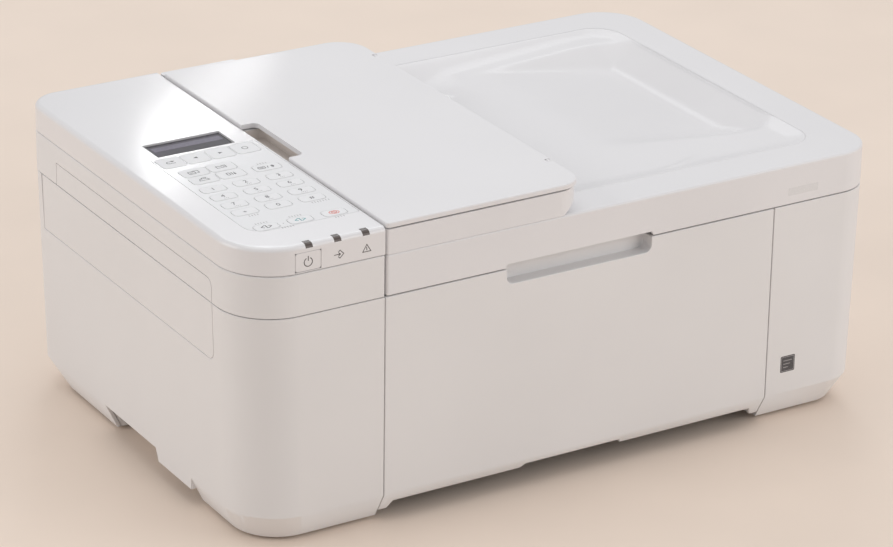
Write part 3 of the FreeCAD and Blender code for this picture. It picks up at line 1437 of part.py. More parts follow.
def make_feet_and_screws():
    spots = [(x, y) for x in (-d.foot_x, d.foot_x) for y in (d.foot_front, d.foot_back)]
    feet = [rod(f"foot_{index}", "z", d.foot_radius, (0, d.foot_height), spot)
            for index, spot in enumerate(spots)]
    part("rubber_feet", fuse("RubberFeet", *feet))
    screws = []
    for index, spot in enumerate(SCREW_SPOTS):
        low = d.foot_height + d.screw_head_gap
        head = rod(f"screw_head_{index}", "z", d.screw_head, (low, low + d.screw_head_height), spot)
        shank = rod(f"screw_shank_{index}", "z", d.screw_shank,
                    (d.foot_height + BITE, d.floor_top + d.screw_bite), spot)
        screws.append(fuse(f"screw_{index}", head, shank))
    part("case_screws", fuse("CaseScrews", *screws))


def check_and_export():
    doc.recompute()
    failed = [item.Name for item in doc.Objects if {"Invalid", "Error"} & set(item.State)]
    failed += [item.Label for item in PARTS if item.Shape.isNull() or not item.Shape.isValid()]
    if failed:
        raise RuntimeError(f"these objects failed: {failed}")
    os.makedirs("parts", exist_ok=True)
    for item in PARTS:
        item.Shape.exportStep(os.path.join("parts", f"{item.Label}.step"))
        print(item.Label, len(item.Shape.Solids), round(item.Shape.Volume))


make_left_cover()
make_right_cover()
make_base_case()
make_top_frame()
make_glass()
make_panel()
make_keys()
make_document_cover()
make_feeder()
make_document_tray()
make_front_door()
make_rear_cover()
make_scanner_bar()
make_chassis()
make_rollers()
make_carriage()
make_drive()
make_paper_trays()
make_electrics()
make_feet_and_screws()
check_and_export()
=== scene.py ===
"""Looks of the inkjet printer: materials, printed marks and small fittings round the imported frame."""

import json
import math

import bmesh
import bpy
from mathutils import Matrix, Quaternion, Vector


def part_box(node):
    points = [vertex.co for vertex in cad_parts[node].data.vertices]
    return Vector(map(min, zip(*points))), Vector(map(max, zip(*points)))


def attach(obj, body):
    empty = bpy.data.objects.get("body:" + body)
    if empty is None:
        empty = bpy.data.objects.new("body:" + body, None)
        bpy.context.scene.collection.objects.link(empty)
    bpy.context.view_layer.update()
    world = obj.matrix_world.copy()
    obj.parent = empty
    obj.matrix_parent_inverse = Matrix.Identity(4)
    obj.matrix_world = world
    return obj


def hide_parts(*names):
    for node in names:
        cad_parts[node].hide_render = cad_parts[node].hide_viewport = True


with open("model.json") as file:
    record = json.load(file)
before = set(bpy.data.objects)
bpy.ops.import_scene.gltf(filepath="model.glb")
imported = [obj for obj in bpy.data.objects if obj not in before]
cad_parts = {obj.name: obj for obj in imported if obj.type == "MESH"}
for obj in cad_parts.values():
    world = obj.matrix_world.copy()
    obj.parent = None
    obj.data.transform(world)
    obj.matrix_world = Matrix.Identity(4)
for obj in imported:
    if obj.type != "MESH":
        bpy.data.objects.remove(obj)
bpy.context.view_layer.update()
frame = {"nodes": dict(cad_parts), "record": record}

MM = 0.001
NODES = frame["nodes"]

# ---------------------------------------------------------------- camera, floor and light

CAMERA_PLACE = Vector((-1.0998, -1.8116, 0.9979))
CAMERA_AZIMUTH = math.radians(-31.302)
CAMERA_ELEVATION = math.radians(23.522)
CAMERA_ROLL = math.radians(0.853)
CAMERA_LENS = 150.506
UP = Vector((0, 0, 1))

ROOM_COLOUR = (0.96, 0.97, 1.0, 1)
ROOM_STRENGTH = 0.51
# Each light's place, the point it is aimed at, its side, its power and its colour.
LIGHTS = {
    "ceiling": ((0.2, 0.3, 4.0), (0, 0, 0.1), 3.5, 41.5, (1.0, 0.99, 0.97)),
    "front_fill": ((1.8, -2.2, 1.1), (0, 0, 0.1), 1.8, 23.5, (1.0, 0.985, 0.97)),
    "left_fill": ((-2.6, 0.8, 1.2), (0, 0, 0.1), 1.8, 20.5, (1.0, 0.98, 0.955)),
    "window": ((1.02, 1.68, 1.65), (0, 0, 0.15), 0.9, 6, (0.94, 0.97, 1.0)),
}
GLINT_SPOT = Vector((-0.127, 0.07, 0.189))
GLINT_REACH = 1.5
GLINT_WIDTH, GLINT_LENGTH = 0.06, 0.26
GLINT_POWER = 0.6
GLINT_TURN = math.radians(-45)
FLOOR_SIDE = 12
FLOOR_COLOUR = (0.88, 0.745, 0.635)


def put(name, data):
    """An object in the scene that shows some data."""
    made = bpy.data.objects.new(name, data)
    bpy.context.scene.collection.objects.link(made)
    return made


def make_camera():
    """Looks from the front left and above, with a long lens."""
    flat = math.cos(CAMERA_ELEVATION)
    back = Vector((math.sin(CAMERA_AZIMUTH) * flat, -math.cos(CAMERA_AZIMUTH) * flat,
                   math.sin(CAMERA_ELEVATION)))
    right = (-back).cross(UP).normalized()
    top = back.cross(right)
    turn = Matrix((right, top, back)).transposed() @ Matrix.Rotation(CAMERA_ROLL, 3, "Z")
    data = bpy.data.cameras.new("camera")
    data.lens = CAMERA_LENS
    camera = put("camera", data)
    camera.matrix_world = Matrix.Translation(CAMERA_PLACE) @ turn.to_4x4()
    bpy.context.scene.camera = camera


def area_light(name, place, target, size, power, colour=(1, 1, 1)):
    """A square soft light of the given side, aimed at a point."""
    data = bpy.data.lights.new(name, "AREA")
    data.size = size
    data.energy = power
    data.color = colour
    light = put(name, data)
    aim = Vector(target) - Vector(place)
    light.location = place
    light.rotation_euler = aim.to_track_quat("-Z", "Y").to_euler()
    return light


def make_lights():
    """An even room, a ceiling light, fills from the front and left, a window behind, and its glint."""
    world = bpy.data.worlds.new("room")
    world.use_nodes = True
    background = world.node_tree.nodes["Background"]
    background.inputs["Color"].default_value = ROOM_COLOUR
    background.inputs["Strength"].default_value = ROOM_STRENGTH
    bpy.context.scene.world = world
    for name, settings in LIGHTS.items():
        area_light(name, *settings)
    # The glint stands where the flat top mirrors it towards the camera, and is long and narrow.
    mirrored = (GLINT_SPOT - CAMERA_PLACE) * Vector((1, 1, -1))
    glint = area_light("glint", GLINT_SPOT + GLINT_REACH * mirrored, GLINT_SPOT, GLINT_WIDTH, GLINT_POWER)
    glint.data.shape = "RECTANGLE"
    glint.data.size_y = GLINT_LENGTH
    glint.rotation_euler = (glint.rotation_euler.to_quaternion()
                            @ Quaternion((0, 0, 1), GLINT_TURN)).to_euler()
    bpy.context.scene.view_settings.view_transform = "Standard"


# ---------------------------------------------------------------- materials

WAVE_REPEAT = 0.314  # how far apart the bands of a wave texture of scale 1 are
MIX_FACTOR, MIX_FIRST, MIX_SECOND, MIX_COLOUR = 0, 6, 7, 2  # a colour mix node's sockets
COAT_ROUGHNESS = 0.09


def new_material(name):
    """An empty material with its node tree and its shader."""
    material = bpy.data.materials.new(name)
    material.use_nodes = True
    tree = material.node_tree
    return material, tree, tree.nodes["Principled BSDF"]


def place_on_object(tree, scale=(1, 1, 1)):
    """Texture coordinates in metres on the object, stretched by scale."""
    coordinates = tree.nodes.new("ShaderNodeTexCoord")
    mapping = tree.nodes.new("ShaderNodeMapping")
    mapping.inputs["Scale"].default_value = scale
    tree.links.new(coordinates.outputs["Object"], mapping.inputs["Vector"])
    return mapping.outputs["Vector"]


def noise(tree, where, size_mm, detail=2.0):
    """Noise whose lumps are about size_mm across."""
    made = tree.nodes.new("ShaderNodeTexNoise")
    made.inputs["Scale"].default_value = 1 / (size_mm * MM)
    made.inputs["Detail"].default_value = detail
    tree.links.new(where, made.inputs["Vector"])
    return made.outputs["Fac"]


def stripes(tree, where, axis, pitch_mm):
    """Even waves across one axis."""
    made = tree.nodes.new("ShaderNodeTexWave")
    made.bands_direction = axis
    made.inputs["Scale"].default_value = WAVE_REPEAT / (pitch_mm * MM)
    tree.links.new(where, made.inputs["Vector"])
    return made.outputs["Fac"]


def spread(tree, source, low, high, start=0.3, end=0.7):
    """Takes a value from start..end to low..high."""
    made = tree.nodes.new("ShaderNodeMapRange")
    made.inputs["From Min"].default_value = start
    made.inputs["From Max"].default_value = end
    made.inputs["To Min"].default_value = low
    made.inputs["To Max"].default_value = high
    tree.links.new(source, made.inputs["Value"])
    return made.outputs["Result"]


def two_tone(tree, source, first, second, start=0.3, end=0.7):
    """Mixes two colours by a value."""
    made = tree.nodes.new("ShaderNodeMix")
    made.data_type = "RGBA"
    made.inputs[MIX_FIRST].default_value = (*first, 1)
    made.inputs[MIX_SECOND].default_value = (*second, 1)
    tree.links.new(spread(tree, source, 0, 1, start, end), made.inputs[MIX_FACTOR])
    return made.outputs[MIX_COLOUR]


def bump(tree, shader, *layers):
    """Raises the surface by each (source, depth in mm) layer where the source is 1."""
    last = None
    for source, depth_mm in layers:
        made = tree.nodes.new("ShaderNodeBump")
        made.inputs["Distance"].default_value = depth_mm * MM
        tree.links.new(source, made.inputs["Height"])
        if last is not None:
            tree.links.new(last, made.inputs["Normal"])
        last = made.outputs["Normal"]
    tree.links.new(last, shader.inputs["Normal"])


def moulded(name, colour, roughness=0.45, shade=0.03, grain_mm=0.9, grain_depth_mm=0.006, sheen=0.0):
    """Moulded plastic: a fine eroded grain, a slow drift of shade and gloss, and a smooth coat if asked."""
    material, tree, shader = new_material(name)
    where = place_on_object(tree)
    darker = [value * (1 - shade) for value in colour]
    tree.links.new(two_tone(tree, noise(tree, where, 90), darker, colour), shader.inputs["Base Color"])
    tree.links.new(spread(tree, noise(tree, where, 45), roughness - 0.02, roughness + 0.02),
                   shader.inputs["Roughness"])
    shader.inputs["Coat Weight"].default_value = sheen
    shader.inputs["Coat Roughness"].default_value = COAT_ROUGHNESS
    bump(tree, shader, (noise(tree, where, grain_mm), grain_depth_mm), (noise(tree, where, 60), 0.05))
    return material


def sheet_steel(name, colour, grain_axis, roughness=0.34):
    """Plated sheet steel: rolling streaks along one axis, and faint spangle."""
    material, tree, shader = new_material(name)
    stretch = {"X": (0.03, 1, 1), "Y": (1, 0.03, 1), "Z": (1, 1, 0.03)}[grain_axis]
    streaks = noise(tree, place_on_object(tree, stretch), 0.8, 4.0)
    spangle = noise(tree, place_on_object(tree), 9, 1.0)
    darker = [value * 0.78 for value in colour]
    tree.links.new(two_tone(tree, spangle, darker, colour), shader.inputs["Base Color"])
    tree.links.new(spread(tree, streaks, roughness - 0.1, roughness + 0.12), shader.inputs["Roughness"])
    shader.inputs["Metallic"].default_value = 1.0
    bump(tree, shader, (streaks, 0.01))
    return material


def rubber(name, colour, lines_mm=None, axis="X"):
    """Dull rubber with dusty patches, and ground lines round it where asked."""
    material, tree, shader = new_material(name)
    where = place_on_object(tree)
    dusty = [value + 0.035 for value in colour]
    tree.links.new(two_tone(tree, noise(tree, where, 6, 4.0), colour, dusty), shader.inputs["Base Color"])
    tree.links.new(spread(tree, noise(tree, where, 3), 0.72, 0.9), shader.inputs["Roughness"])
    layers = [(noise(tree, where, 0.4), 0.03)]
    if lines_mm:
        layers.append((stripes(tree, where, axis, lines_mm), 0.08))
    bump(tree, shader, *layers)
    return material


def circuit_board(name):
    """Green solder mask over paler traces and small round pads."""
    material, tree, shader = new_material(name)
    where = place_on_object(tree)
    cells = tree.nodes.new("ShaderNodeTexBrick")
    cells.inputs["Scale"].default_value = 160
    cells.inputs["Mortar Size"].default_value = 0.06
    cells.inputs["Color1"].default_value = (0.015, 0.11, 0.045, 1)
    cells.inputs["Color2"].default_value = (0.02, 0.15, 0.06, 1)
    cells.inputs["Mortar"].default_value = (0.06, 0.26, 0.12, 1)
    turn = tree.nodes.new("ShaderNodeMapping")
    turn.inputs["Rotation"].default_value = (math.radians(90), 0, 0)
    tree.links.new(where, turn.inputs["Vector"])
    tree.links.new(turn.outputs["Vector"], cells.inputs["Vector"])
    tree.links.new(cells.outputs["Color"], shader.inputs["Base Color"])
    tree.links.new(spread(tree, noise(tree, where, 4), 0.22, 0.34), shader.inputs["Roughness"])
    bump(tree, shader, (cells.outputs["Fac"], 0.03))
    return material


def clear_glass(name):
    """Flat glass, faintly green, with a little handling haze."""
    material, tree, shader = new_material(name)
    where = place_on_object(tree)
    tree.links.new(two_tone(tree, noise(tree, where, 60), (0.78, 0.86, 0.84), (0.86, 0.92, 0.9)),
                   shader.inputs["Base Color"])
    tree.links.new(spread(tree, noise(tree, where, 35, 4.0), 0.02, 0.07), shader.inputs["Roughness"])
    shader.inputs["Transmission Weight"].default_value = 0.9
    shader.inputs["IOR"].default_value = 1.5
    return material


def foam_film(name):
    """White film over foam: shallow dimples and a satin gloss."""
    material, tree, shader = new_material(name)
    where = place_on_object(tree)
    tree.links.new(two_tone(tree, noise(tree, where, 50), (0.80, 0.80, 0.79), (0.84, 0.84, 0.835)),
                   shader.inputs["Base Color"])
    tree.links.new(spread(tree, noise(tree, where, 12), 0.42, 0.55), shader.inputs["Roughness"])
    bump(tree, shader, (noise(tree, where, 7, 3.0), 0.12), (noise(tree, where, 1.2), 0.02))
    return material


def display(name, colour, band):
    """A liquid-crystal cell behind a clear window: a fine dot grid and a soft band of lighter tint."""
    material, tree, shader = new_material(name)
    where = place_on_object(tree)
    tint = two_tone(tree, noise(tree, place_on_object(tree, (0.2, 1, 1)), 14, 0.0), colour, band, 0.35, 0.65)
    tree.links.new(tint, shader.inputs["Base Color"])
    tree.links.new(spread(tree, stripes(tree, where, "X", 0.6), 0.3, 0.36, 0, 1), shader.inputs["Roughness"])
    shader.inputs["Specular IOR Level"].default_value = 0.25
    bump(tree, shader, (stripes(tree, where, "Y", 0.6), 0.002))
    return material


def printed(name, colour, roughness=0.5, rise=0.05):
    """Ink on plastic: slightly uneven cover, paler by the rise at most."""
    material, tree, shader = new_material(name)
    where = place_on_object(tree)
    paler = [value + rise for value in colour]
    tree.links.new(two_tone(tree, noise(tree, where, 0.7), colour, paler), shader.inputs["Base Color"])
    tree.links.new(spread(tree, noise(tree, where, 2), roughness - 0.06, roughness + 0.06),
                   shader.inputs["Roughness"])
    bump(tree, shader, (noise(tree, where, 0.4), 0.004))
    return material


WHITE = (0.80, 0.785, 0.78)
TOP_WHITE = (0.805, 0.79, 0.795)


def make_materials():
    """One material for each slot of the record, and the inks."""
    return {
        "case_white": moulded("case_white", WHITE, 0.5),
        "cover_white": moulded("cover_white", TOP_WHITE, 0.48, sheen=0.16),
        "panel_white": moulded("panel_white", TOP_WHITE, 0.34, 0.02, 1.2, 0.003, 0.6),
        "film_white": moulded("film_white", (0.79, 0.785, 0.79), 0.36, 0.02, 1.6, 0.003, 0.5),
        "key_white": moulded("key_white", (0.79, 0.785, 0.79), 0.36, 0.02, 1.6, 0.003),
        "display_dark": display("display_dark", (0.035, 0.028, 0.035), (0.06, 0.05, 0.072)),
        "lamp_smoke": moulded("lamp_smoke", (0.105, 0.082, 0.073), 0.2, 0.2, 2.0, 0.002),
        "scan_glass": clear_glass("scan_glass"),
        "pad_foam": foam_film("pad_foam"),
        "inner_grey": moulded("inner_grey", (0.19, 0.19, 0.195), 0.55, 0.1, 0.7, 0.012),
        "inner_dark": moulded("inner_dark", (0.026, 0.026, 0.028), 0.5, 0.2, 0.7, 0.012),
        "cartridge_black": moulded("cartridge_black", (0.018, 0.018, 0.02), 0.32, 0.2, 1.0, 0.006),
        "socket_black": moulded("socket_black", (0.018, 0.018, 0.018), 0.42, 0.2, 0.6, 0.01),
        "board_green": circuit_board("board_green"),
        "chassis_steel": sheet_steel("chassis_steel", (0.62, 0.62, 0.61), "X"),
        "motor_steel": sheet_steel("motor_steel", (0.55, 0.55, 0.56), "Z", 0.28),
        "screw_steel": sheet_steel("screw_steel", (0.45, 0.45, 0.45), "Y", 0.3),
        "belt_rubber": rubber("belt_rubber", (0.02, 0.02, 0.02), 2.0, "X"),
        "roller_rubber": rubber("roller_rubber", (0.05, 0.05, 0.05), 0.8, "X"),
        "foot_rubber": rubber("foot_rubber", (0.04, 0.04, 0.04)),
        "ink_grey": printed("ink_grey", (0.065, 0.06, 0.062), 0.5, 0.03),
        "ink_pale": printed("ink_pale", (0.34, 0.325, 0.325)),
        "ink_teal": printed("ink_teal", (0.03, 0.33, 0.34)),
        "ink_coral": printed("ink_coral", (0.72, 0.17, 0.13)),
        "ink_plate": printed("ink_plate", (0.055, 0.05, 0.055), 0.4),
        "clear_label": printed("clear_label", (0.73, 0.72, 0.72), 0.22),
        "lcd_black": printed("lcd_black", (0.008, 0.007, 0.008), 0.3, 0.006),
        "lcd_tint": printed("lcd_tint", (0.10, 0.083, 0.125), 0.35, 0.012),
        # Painted shade: a warm grey for the finger notch, whose hollow lies in shadow.
        "well_painted_shade": moulded("well_painted_shade", (0.74, 0.68, 0.63), 0.5),
        # Painted shade: the grey of the skirts in the gaps round the keys and the power button.
        "key_skirt": moulded("key_skirt", (0.60, 0.59, 0.59), 0.5, 0.1),
    }


MATERIALS = make_materials()
BEVELLED = {
    "left_side_cover": 0.3, "right_side_cover": 0.35, "operation_panel": 0.3, "adf_housing": 0.4,
    "document_tray": 0.35, "front_door": 0.45, "base_case": 0.3, "rear_cover": 0.4, "power_button": 0.25,
}
FREELY_BEVELLED = ("left_side_cover", "right_side_cover", "front_door")
FLAT_TOLERANCE = math.radians(1.5)
SHARP_CORNER = math.radians(30)
SAME_POINT = 1e-6


def paint_nodes():
    """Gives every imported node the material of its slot."""
    for part in NODES.values():
        for index, old in enumerate(part.data.materials):
            part.data.materials[index] = MATERIALS[old.name.split(".")[0]]


def soften(piece, width_mm, clamp=True):
    """Breaks a moulding's sharp corners, so that each edge catches the light."""
    weld = piece.modifiers.new("weld", "WELD")
    weld.merge_threshold = SAME_POINT
    flatten = piece.modifiers.new("flatten", "DECIMATE")
    flatten.decimate_type = "DISSOLVE"
    flatten.angle_limit = FLAT_TOLERANCE
    edge = piece.modifiers.new("edge", "BEVEL")
    edge.width = width_mm * MM
    edge.segments = 2
    edge.limit_method = "ANGLE"
    edge.angle_limit = SHARP_CORNER
    edge.use_clamp_overlap = clamp
    edge.harden_normals = False
    even = piece.modifiers.new("even", "WEIGHTED_NORMAL")
    even.keep_sharp = False


# ---------------------------------------------------------------- flat marks

INK_ABOVE = 0.03
INK_BELOW = 0.05
ON_TOP = Matrix.Identity(3)
ON_FRONT = Matrix(((1, 0, 0), (0, 0, -1), (0, 1, 0)))
CORNER_STEPS = 5
MITRE_LIMIT = 0.4
GLYPH_WELD = 1e-7


def arc(centre, radius, start, end, steps=20):
    """Points round part of a circle, in degrees."""
    angles = [math.radians(start + (end - start) * index / steps) for index in range(steps + 1)]
    return [(centre[0] + radius * math.cos(a), centre[1] + radius * math.sin(a)) for a in angles]


def rounded(width, height, radius, centre=(0, 0)):
    """A rectangle with round corners."""
    across, up = width / 2 - radius, height / 2 - radius
    corners = ((across, up, 0), (-across, up, 90), (-across, -up, 180), (across, -up, 270))
    return [point for x, y, start in corners
            for point in arc((centre[0] + x, centre[1] + y), radius, start, start + 90, CORNER_STEPS)]


def offsets(points, width, closed):
    """Points on both sides of a line, mitred where it turns."""
    count = len(points)
    sides = []
    for index, point in enumerate(points):
        before = points[index - 1] if closed or index else None
        after = points[(index + 1) % count] if closed or index < count - 1 else None
        runs = [(Vector(b) - Vector(a)).normalized() for a, b in ((before, point), (point, after)) if a and b]
        along = sum(runs, Vector((0, 0))).normalized()
        across = Vector((-along.y, along.x))
        reach = width / 2 / max(MITRE_LIMIT, abs(along.dot(runs[0])))
        sides.append((Vector(point) + across * reach, Vector(point) - across * reach))
    return sides


def band(mesh, first, second):
    """The faces between two rings of vertices."""
    for index in range(len(first)):
        after = (index + 1) % len(first)
        mesh.faces.new((first[index], first[after], second[after], second[index]))


def prism(mesh, loop, bottom, top):
    """A closed solid that has one outline at two heights."""
    low, high = ([mesh.verts.new((x, y, height)) for x, y in loop] for height in (bottom, top))
    mesh.faces.new(list(reversed(low)))
    mesh.faces.new(high)
    band(mesh, low, high)


def tube(mesh, rows, closed):
    """A skin over rows of vertices, joined into a ring or capped at both ends."""
    for first, second in zip(rows, rows[1:] + rows[:1] if closed else rows[1:]):
        band(mesh, first, second)
    if not closed:
        mesh.faces.new(rows[0])
        mesh.faces.new(list(reversed(rows[-1])))


class Mark:
    """Flat shapes in millimetres, gathered into one thin printed piece."""

    def __init__(self):
        self.mesh = bmesh.new()

    def plate(self, loop):
        """A filled outline."""
        prism(self.mesh, loop, -INK_BELOW, INK_ABOVE)

    def line(self, points, width, closed=False):
        """A line of even width."""
        rows = []
        for left, right in offsets(points, width, closed):
            rows.append([self.mesh.verts.new((side.x, side.y, z)) for side, z in (
                (left, -INK_BELOW), (left, INK_ABOVE), (right, INK_ABOVE), (right, -INK_BELOW))])
        tube(self.mesh, rows, closed)

    def finish(self, name, body, ink, where, plane=ON_TOP):
        """Sets the marks down at a point in metres, in one plane, and rides them on a body."""
        bmesh.ops.recalc_face_normals(self.mesh, faces=self.mesh.faces)
        bmesh.ops.scale(self.mesh, vec=(MM, MM, MM), verts=self.mesh.verts)
        bmesh.ops.transform(self.mesh, matrix=Matrix.Translation(where) @ plane.to_4x4(),
                            verts=self.mesh.verts)
        return mesh_piece(name, self.mesh, body, ink)


def mesh_piece(name, mesh, body, material):
    """An object made from a bmesh, painted, and riding on a body."""
    data = bpy.data.meshes.new(name)
    mesh.to_mesh(data)
    mesh.free()
    piece = put(name, data)
    data.materials.append(MATERIALS[material])
    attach(piece, body)
    return piece


def glyph(name, text, size_mm, body, ink, where):
    """One digit or sign as a thin printed piece, centred on a point."""
    curve = bpy.data.curves.new(name, "FONT")
    curve.body = text
    curve.size = size_mm * MM
    curve.align_x = "CENTER"
    curve.align_y = "CENTER"
    curve.resolution_u = 4
    curve.extrude = INK_ABOVE * MM
    helper = put(name, curve)
    shape = bpy.data.meshes.new_from_object(helper.evaluated_get(bpy.context.evaluated_depsgraph_get()))
    bpy.data.objects.remove(helper)
    bpy.data.curves.remove(curve)
    mesh = bmesh.new()
    mesh.from_mesh(shape)
    bpy.data.meshes.remove(shape)
    bmesh.ops.remove_doubles(mesh, verts=mesh.verts, dist=GLYPH_WELD)
    bmesh.ops.recalc_face_normals(mesh, faces=mesh.faces)
    bmesh.ops.transform(mesh, matrix=Matrix.Translation(where), verts=mesh.verts)
    return mesh_piece(name, mesh, body, ink)


def top_of(node):
    """The middle of a node's top face, in metres."""
    low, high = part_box(node)
    return Vector(((low[0] + high[0]) / 2, (low[1] + high[1]) / 2, high[2]))


# Widths of the printed lines.
LINE, FINE, BOLD = 0.45, 0.3, 0.5
POWER_LINE = 0.55
WORD_LINE = 0.42


def draw_back(mark):
    """An arrow that turns back."""
    mark.line([(2.6, -1.4), (-1.2, -1.4)] + arc((-1.2, 0), 1.4, 270, 90, 10) + [(1.2, 1.4)], LINE)
    mark.plate([(0.9, 0.3), (3.0, 1.4), (0.9, 2.5)])


def draw_left(mark):
    """A triangle that points left."""
    mark.plate([(-1.5, 0), (1.1, -1.2), (1.1, 1.2)])


def draw_right(mark):
    """A triangle that points right."""
    mark.plate([(1.5, 0), (-1.1, 1.2), (-1.1, -1.2)])


def draw_ok(mark):
    """A ring."""
    mark.line(arc((0, 0), 1.8, 0, 342, 19), LINE, True)


def draw_copy(mark):
    """A written sheet in front of another."""
    mark.line(rounded(4.2, 3.6, 0.5, (-1.6, -0.5)), LINE, True)
    mark.line([(-0.6, 1.9), (2.9, 1.9), (2.9, -1.5), (1.2, -1.5)], LINE)
    for row in (-0.1, -1.1):
        mark.line([(-2.8, row), (-0.5, row)], FINE)


def draw_scan(mark):
    """A tray with its lid tipped up."""
    mark.line([(-3.1, 1.6), (-3.1, -1.4), (2.9, -1.4), (2.9, 1.6), (0.4, 1.6)], LINE)
    mark.line([(-3.1, 1.6), (0.4, 0.2)], LINE)
    for row in (0.6, -0.4):
        mark.line([(0.9, row), (2.1, row)], FINE)


def draw_fax(mark):
    """A machine with a sheet standing in it."""
    mark.line([(-3.2, -1.7), (3.2, -1.7), (2.2, 0.7), (-2.2, 0.7)], LINE, True)
    mark.line([(-1.2, 0.8), (-0.6, 2.1), (2.0, 2.1), (1.6, 0.8)], LINE)


def draw_setup(mark):
    """Two tools side by side."""
    mark.line(rounded(1.9, 3.4, 0.6, (-1.6, 0)), LINE, True)
    mark.line([(0.7, 1.8), (0.7, -1.8)], LINE)
    mark.line([(2.2, -1.8), (2.2, 0.3)], 0.9)
    mark.line([(2.2, 0.3), (2.2, 1.8)], 0.35)


def draw_menu(mark):
    """A written sheet, a slash and two sets of waves."""
    mark.line(rounded(4.4, 2.7, 0.4, (-3.4, 0)), LINE, True)
    for row in (0.45, -0.45):
        mark.line([(-4.8, row), (-2.0, row)], FINE)
    mark.line([(0.1, -1.4), (1.0, 1.4)], LINE)
    for radius in (0.8, 1.7):
        mark.line(arc((2.6, 0), radius, -60, 60, 8), LINE)
        mark.line(arc((4.6, 0), radius, 120, 240, 8), LINE)


def draw_start(mark):
    """An upright bar between two bent strokes."""
    mark.line([(-3.4, 0), (-0.7, 1.9), (0.3, 1.2)], BOLD)
    mark.line([(3.4, 0), (0.7, -1.9), (-0.3, -1.2)], BOLD)
    mark.line([(-3.4, 0), (-1.6, -1.3)], BOLD)
    mark.line([(3.4, 0), (1.6, 1.3)], BOLD)
    mark.line([(0, -1.9), (0, 1.9)], 0.6)


def draw_stop(mark):
    """One octagon inside another, with a slash."""
    eight = [(2.9, 0.9), (1.4, 2.0), (-1.4, 2.0), (-2.9, 0.9),
             (-2.9, -0.9), (-1.4, -2.0), (1.4, -2.0), (2.9, -0.9)]
    mark.line(eight, BOLD, True)
    mark.line([(x * 0.55, y * 0.55) for x, y in eight], BOLD, True)
    mark.line([(-1.5, 0.9), (1.5, -0.9)], BOLD)


KEY_ICONS = {
    "key_back": draw_back, "key_left": draw_left, "key_right": draw_right, "key_ok": draw_ok,
    "key_copy": draw_copy, "key_scan": draw_scan, "key_fax": draw_fax, "key_setup": draw_setup,
    "key_menu": draw_menu, "key_start_black": draw_start, "key_start_color": draw_start,
    "key_stop": draw_stop,
}
KEY_INKS = {"key_start_color": "ink_teal", "key_stop": "ink_coral"}
KEY_DIGITS = {
    "key_1": "1", "key_2": "2", "key_3": "3", "key_4": "4", "key_5": "5", "key_6": "6", "key_7": "7",
    "key_8": "8", "key_9": "9", "key_tone": "*", "key_0": "0", "key_symbol": "#",
}
DIGIT_SIZE = 5.0
DIGIT_RISE = 1.0
STAR_RISE = -1.2
SUB_LABELS = {"key_2": 3, "key_3": 3, "key_4": 3, "key_5": 3, "key_6": 3, "key_7": 4, "key_8": 3, "key_9": 4}
SUB_LABEL_PLACE = (0.6, -2.5)
SUB_LABEL_HEIGHT, SUB_LABEL_PITCH = 0.8, 1.1
# Each word on the film: its key, how far it stands right of it and above it, and its number of strokes.
FILM_WORDS = (
    ("key_menu", 0, 6.6, 4), ("key_tone", 2, -6.6, 4), ("key_symbol", 2, -6.6, 7),
    ("key_start_black", 0, 6.4, 5), ("key_start_color", 0, 6.4, 5), ("key_stop", 0, -6.6, 4),
    ("key_start_color", -11, -5.6, 5),
)
FILM_WORD_HEIGHT, FILM_WORD_PITCH = 1.9, 1.75
MEMORY_RIGHT, ALARM_RIGHT = 19.0, 37.4
LCD_FRAME_INSET, LCD_FRAME_WIDTH = 2.4, 1.2
# Where the plate and the label stand, across and up.
COLUMN_PLATE = (157.3, 38.1)
COVER_LABEL = (162.0, 152.5)


def word(mark, x, y, letters, height, pitch):
    """A tiny printed word stood for by a row of short upright strokes, which say nothing."""
    start = x - pitch * (letters - 1) / 2
    for index in range(letters):
        across = start + pitch * index
        mark.line([(across, y - height / 2), (across, y + height / 2)], WORD_LINE)


def mark_keys():
    """Prints every key's sign."""
    for key, draw in KEY_ICONS.items():
        mark = Mark()
        draw(mark)
        mark.finish(f"{key}_sign", f"{key}_cap", KEY_INKS.get(key, "ink_grey"), top_of(key))
    for key, sign in KEY_DIGITS.items():
        rise = DIGIT_RISE if key in SUB_LABELS else 0
        if sign == "*":
            rise = STAR_RISE
        place = top_of(key) + Vector((0, rise * MM, 0))
        glyph(f"{key}_sign", sign, DIGIT_SIZE, f"{key}_cap", "ink_grey", place)
        if key in SUB_LABELS:
            mark = Mark()
            word(mark, *SUB_LABEL_PLACE, SUB_LABELS[key], SUB_LABEL_HEIGHT, SUB_LABEL_PITCH)
            mark.finish(f"{key}_small_print", f"{key}_cap", "ink_pale", top_of(key))


